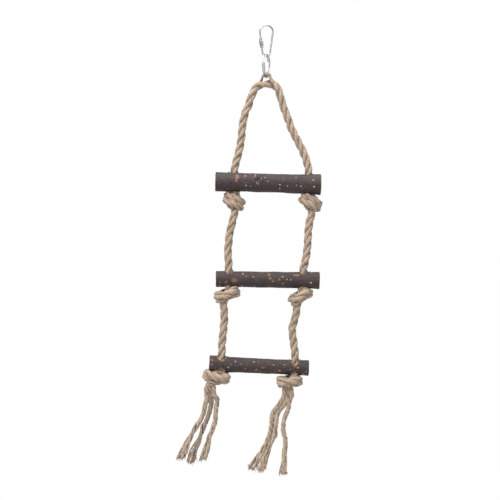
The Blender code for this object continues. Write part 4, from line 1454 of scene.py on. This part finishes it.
def leg_point(height):
    top, bottom = link_legs()
    return top + (bottom - top) * (top[2] - height) / (top[2] - bottom[2])


def build_link():
    """The bent wire, with a slight shoulder where its crown meets its right leg."""
    top, bottom = link_legs()
    mouth_top = LINK_WIRE_D - LINK_MOUTH_BELOW_TOP
    lower_end = leg_point(mouth_top - LINK_MOUTH)
    crown = arc_points(np.array((0.0, 0.0, top[2])), LINK_CROWN_R, 0.0, math.pi, 60)
    shoulder = np.exp(-((crown[:, 0] - LINK_CROWN_R) / SHOULDER_REACH) ** 2)
    crown[:, 0] += SHOULDER_BULGE * shoulder
    base = arc_points(np.array((0.0, 0.0, bottom[2])), LINK_BOTTOM_R, math.pi, TURN, 40)
    leg = np.linspace(lower_end, base[0], 16)[:-1]
    right_leg = np.linspace(base[-1], crown[0], 26)[1:-1]
    upper = np.linspace(crown[-1], leg_point(mouth_top), 14)[1:]
    points = np.vstack((leg, base, right_leg, crown, upper))
    radius = np.full(len(points), LINK_WIRE_D / 2.0)
    radius[[0, -1]] *= 0.8
    gather = Gather()
    plain_tube(gather, points, radius, LINK_SIDES)
    link = gather.build("link_wire", material("link_zinc"))
    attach(link, "link")
    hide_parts("link_frame")


def build_sleeve():
    """A six-sided nut between two turned collars, bored for the wire."""
    top, bottom = link_legs()
    way = unit(top - bottom)
    low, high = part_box("link_sleeve")
    length = (high.z - low.z) / way[2] - 0.3 * MM
    middle = box_middle("link_sleeve")
    outside = LINK_WIRE_D / 2.0 + SLEEVE_WALL
    bore = LINK_WIRE_D / 2.0 + SLEEVE_PLAY
    # Share of the length, share of the outer radius (or the bore) and whether six-sided.
    profile = [(0.0, bore, 0), (0.0, 0.80, 0), (0.03, 0.90, 0), (0.11, 0.92, 0),
               (0.13, 0.80, 0), (0.17, 0.80, 0), (0.19, 0.98, 1), (0.23, 1.04, 1),
               (0.5, 1.04, 1), (0.77, 1.04, 1), (0.81, 0.98, 1), (0.83, 0.80, 0),
               (0.87, 0.80, 0), (0.89, 0.92, 0), (0.97, 0.90, 0), (1.0, 0.80, 0),
               (1.0, bore, 0), (0.5, bore, 0), (0.0, bore, 0)]
    turn = np.linspace(0.0, TURN, SLEEVE_ROUND, endpoint=False)
    flat = (turn + TURN / 12.0) % (TURN / 6.0) - TURN / 12.0
    hexagon = math.cos(math.pi / 6.0) / np.cos(flat)
    side = np.cross(way, BACK)
    rings = []
    for share, size, six_sided in profile:
        radius = size if size == bore else size * outside
        flats = np.maximum(hexagon, 0.90) if six_sided else np.ones(SLEEVE_ROUND)
        ring = radius * flats
        place = middle + way * (share - 0.5) * length
        rings.append(place + (ring * np.cos(turn))[:, None] * BACK
                     + (ring * np.sin(turn))[:, None] * side)
    rings = np.array(rings)
    gather = Gather()
    around = np.broadcast_to(np.linspace(0.0, 1.0, SLEEVE_ROUND + 1),
                             (len(rings), SLEEVE_ROUND + 1))
    gather.tube(rings, around, np.linspace(0.0, 1.0, len(rings)), capped=False)
    sleeve = gather.build("screw_sleeve", material("link_zinc"))
    sleeve.data.set_sharp_from_angle(angle=math.radians(28.0))
    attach(sleeve, "sleeve")
    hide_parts("link_sleeve")


def build_ring():
    """The split ring: two flattened coils of wire with a jog between them."""
    radius = (RING_OUTER_D - RING_WIRE_D) / 2.0
    centre = joint_place("loop_sway") + UP * radius
    axis = np.array((math.cos(RING_YAW), -math.sin(RING_YAW), 0.0))
    sideways = np.array((math.sin(RING_YAW), math.cos(RING_YAW), 0.0))
    turn = np.linspace(RING_END_ANGLE, 2.0 * TURN - RING_END_ANGLE, 300)
    level = ease((turn - TURN + RING_JOG_ANGLE) / (2.0 * RING_JOG_ANGLE)) - 0.5
    points = (centre + radius * (np.cos(turn)[:, None] * sideways
                                 + np.sin(turn)[:, None] * UP)
              + (level * RING_COIL_PITCH)[:, None] * axis)
    size = np.full(len(points), RING_WIRE_D / 2.0)
    size[[0, -1]] *= 0.75
    gather = Gather()
    plain_tube(gather, points, size, RING_SIDES, across=axis)
    ring = gather.build("split_ring_wire", material("ring_chrome"))
    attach(ring, "ring")
    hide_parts("split_ring")


# ---- stage --------------------------------------------------------------------
# Each light's name, place in metres, width in metres and power in watts.
LIGHTS = (("key", (-0.8, -1.1, 1.1), 0.7, 40.0),
          ("fill", (1.2, -1.2, 0.1), 1.2, 9.0),
          ("top", (0.0, -0.15, 1.3), 0.9, 28.0),
          ("back", (0.7, 1.1, 0.5), 0.9, 9.0))
LENS = 100.0
SENSOR_WIDTH = 36.0
FLOOR_Z = -0.62
WALL_Y = 1.5
CORNER_R = 0.6
FLOOR_HALF_WIDTH = 3.5
GREY_CARD = (0.53, 0.53, 0.53)
PALE_CARD = (0.57, 0.57, 0.57)


def build_stage():
    """The floor, the surroundings, the lights and the camera."""
    build_floor()
    bpy.context.scene.world = make_world()
    bpy.context.scene.view_settings.view_transform = "Standard"
    target = Vector((VIEW_CENTRE[0], 0.0, VIEW_CENTRE[1]))
    for name, place, size, power in LIGHTS:
        add_light(name, place, target, size, power)
    add_camera()


def build_floor():
    """A seamless floor and wall: white to the eye, and a grey card to everything else."""
    profile = [(-2.5, FLOOR_Z), (WALL_Y - CORNER_R, FLOOR_Z)]
    for turn in np.linspace(-math.pi / 2.0, 0.0, 14):
        profile.append((WALL_Y - CORNER_R + CORNER_R * math.cos(turn),
                        FLOOR_Z + CORNER_R + CORNER_R * math.sin(turn)))
    profile.append((WALL_Y, 2.6))
    points = [(x, y, z) for y, z in profile for x in (-FLOOR_HALF_WIDTH, FLOOR_HALF_WIDTH)]
    faces = [(2 * i, 2 * i + 1, 2 * i + 3, 2 * i + 2) for i in range(len(profile) - 1)]
    mesh = bpy.data.meshes.new("floor")
    mesh.from_pydata(points, [], faces)
    mesh.shade_smooth()
    tree, inputs = new_material("paper", Roughness=0.9, Specular_IOR_Level=0.1,
                                Emission_Strength=1.0)
    mottle = noise_value(tree, object_place(tree), 30.0)
    seen = add_node(tree, "ShaderNodeLightPath").outputs["Is Camera Ray"]
    card = mix_colours(tree, mottle, GREY_CARD, PALE_CARD)
    wire(tree, (mix_colours(tree, seen, card, (0.0, 0.0, 0.0)), inputs["Base Color"]),
         (seen, inputs["Emission Color"]))
    add_object("floor", mesh, material("paper"))


def add_camera():
    camera = bpy.data.cameras.new("camera")
    camera.lens = LENS
    camera.sensor_width = SENSOR_WIDTH
    obj = bpy.data.objects.new("camera", camera)
    away = VIEW_WIDTH * LENS / SENSOR_WIDTH
    obj.location = (VIEW_CENTRE[0], -away, VIEW_CENTRE[1])
    obj.rotation_euler = (math.pi / 2.0, 0.0, 0.0)
    bpy.context.scene.collection.objects.link(obj)
    bpy.context.scene.camera = obj


def make_world():
    """Soft surroundings, brighter on the left than on the right and white to the eye."""
    world = bpy.data.worlds.new("studio")
    world.use_nodes = True
    tree = world.node_tree
    place = add_node(tree, "ShaderNodeTexCoord").outputs["Generated"]
    split = add_node(tree, "ShaderNodeSeparateXYZ")
    wire(tree, (place, split.inputs[0]))
    right = between(tree, split.outputs["X"], -0.7, 0.8)
    around = mix_colours(tree, right, (0.50, 0.51, 0.53), (0.12, 0.12, 0.125))
    seen = add_node(tree, "ShaderNodeLightPath").outputs["Is Camera Ray"]
    colour = mix_colours(tree, seen, around, (1.0, 1.0, 1.0))
    wire(tree, (colour, tree.nodes["Background"].inputs["Color"]))
    return world


def add_light(name, place, target, size, power):
    light = bpy.data.lights.new(name, "AREA")
    light.shape = "DISK"
    light.size = size
    light.energy = power
    obj = bpy.data.objects.new(name, light)
    obj.location = place
    obj.rotation_euler = (target - Vector(place)).to_track_quat("-Z", "Y").to_euler()
    bpy.context.scene.collection.objects.link(obj)


# ---- operators ----------------------------------------------------------------
class LADDER_OT_stage(bpy.types.Operator):
    """Sets up the floor, the lights and the camera, and makes the materials"""
    bl_idname = "ladder.stage"
    bl_label = "Stage and materials"

    def execute(self, context):
        build_stage()
        make_materials()
        return {"FINISHED"}


class LADDER_OT_ropes(bpy.types.Operator):
    """Lays the loop over the ring and the ropes between the rungs"""
    bl_idname = "ladder.ropes"
    bl_label = "Ropes"

    def execute(self, context):
        build_loop()
        for number in (1, 2):
            for side in SIDES:
                build_bay(number, side)
        return {"FINISHED"}


class LADDER_OT_tails(bpy.types.Operator):
    """Makes the unlaid tails at the rope's two ends"""
    bl_idname = "ladder.tails"
    bl_label = "Tails"

    def execute(self, context):
        for side in SIDES:
            for strand in range(3):
                build_tail_strand(side, strand)
        return {"FINISHED"}


class LADDER_OT_knots(bpy.types.Operator):
    """Ties the six knots under the rungs"""
    bl_idname = "ladder.knots"
    bl_label = "Knots"

    def execute(self, context):
        for number in RUNGS:
            for side in SIDES:
                build_knot(number, side)
        return {"FINISHED"}


class LADDER_OT_rungs(bpy.types.Operator):
    """Makes the three bark rungs, drilled and sawn"""
    bl_idname = "ladder.rungs"
    bl_label = "Rungs"

    def execute(self, context):
        for number in RUNGS:
            build_rung(number)
        return {"FINISHED"}


class LADDER_OT_metal(bpy.types.Operator):
    """Makes the screw link and the split ring"""
    bl_idname = "ladder.metal"
    bl_label = "Link and ring"

    def execute(self, context):
        build_link()
        build_sleeve()
        build_ring()
        return {"FINISHED"}


STEPS = ("stage", "ropes", "tails", "knots", "rungs", "metal")


class LADDER_PT_panel(bpy.types.Panel):
    """Lists the ladder's settings and the steps that build it"""
    bl_label = "Rope Ladder"
    bl_idname = "LADDER_PT_panel"
    bl_space_type = "VIEW_3D"
    bl_region_type = "UI"
    bl_category = "Rope Ladder"

    def draw(self, context):
        for settings in (context.scene.ladder_rope, context.scene.ladder_rungs,
                         context.scene.ladder_metal):
            box = self.layout.box()
            for name in settings.__annotations__:
                box.prop(settings, name)
        for step in STEPS:
            self.layout.operator("ladder." + step)


CLASSES = (RopeSettings, RungSettings, MetalSettings, LADDER_OT_stage, LADDER_OT_ropes,
           LADDER_OT_tails, LADDER_OT_knots, LADDER_OT_rungs, LADDER_OT_metal,
           LADDER_PT_panel)


def register():
    for each in CLASSES:
        bpy.utils.register_class(each)
    bpy.types.Scene.ladder_rope = PointerProperty(type=RopeSettings)
    bpy.types.Scene.ladder_rungs = PointerProperty(type=RungSettings)
    bpy.types.Scene.ladder_metal = PointerProperty(type=MetalSettings)


def unregister():
    del bpy.types.Scene.ladder_metal
    del bpy.types.Scene.ladder_rungs
    del bpy.types.Scene.ladder_rope
    for each in reversed(CLASSES):
        bpy.utils.unregister_class(each)


def main():
    register()
    for step in STEPS:
        getattr(bpy.ops.ladder, step)()


if __name__ == "__main__":
    main()
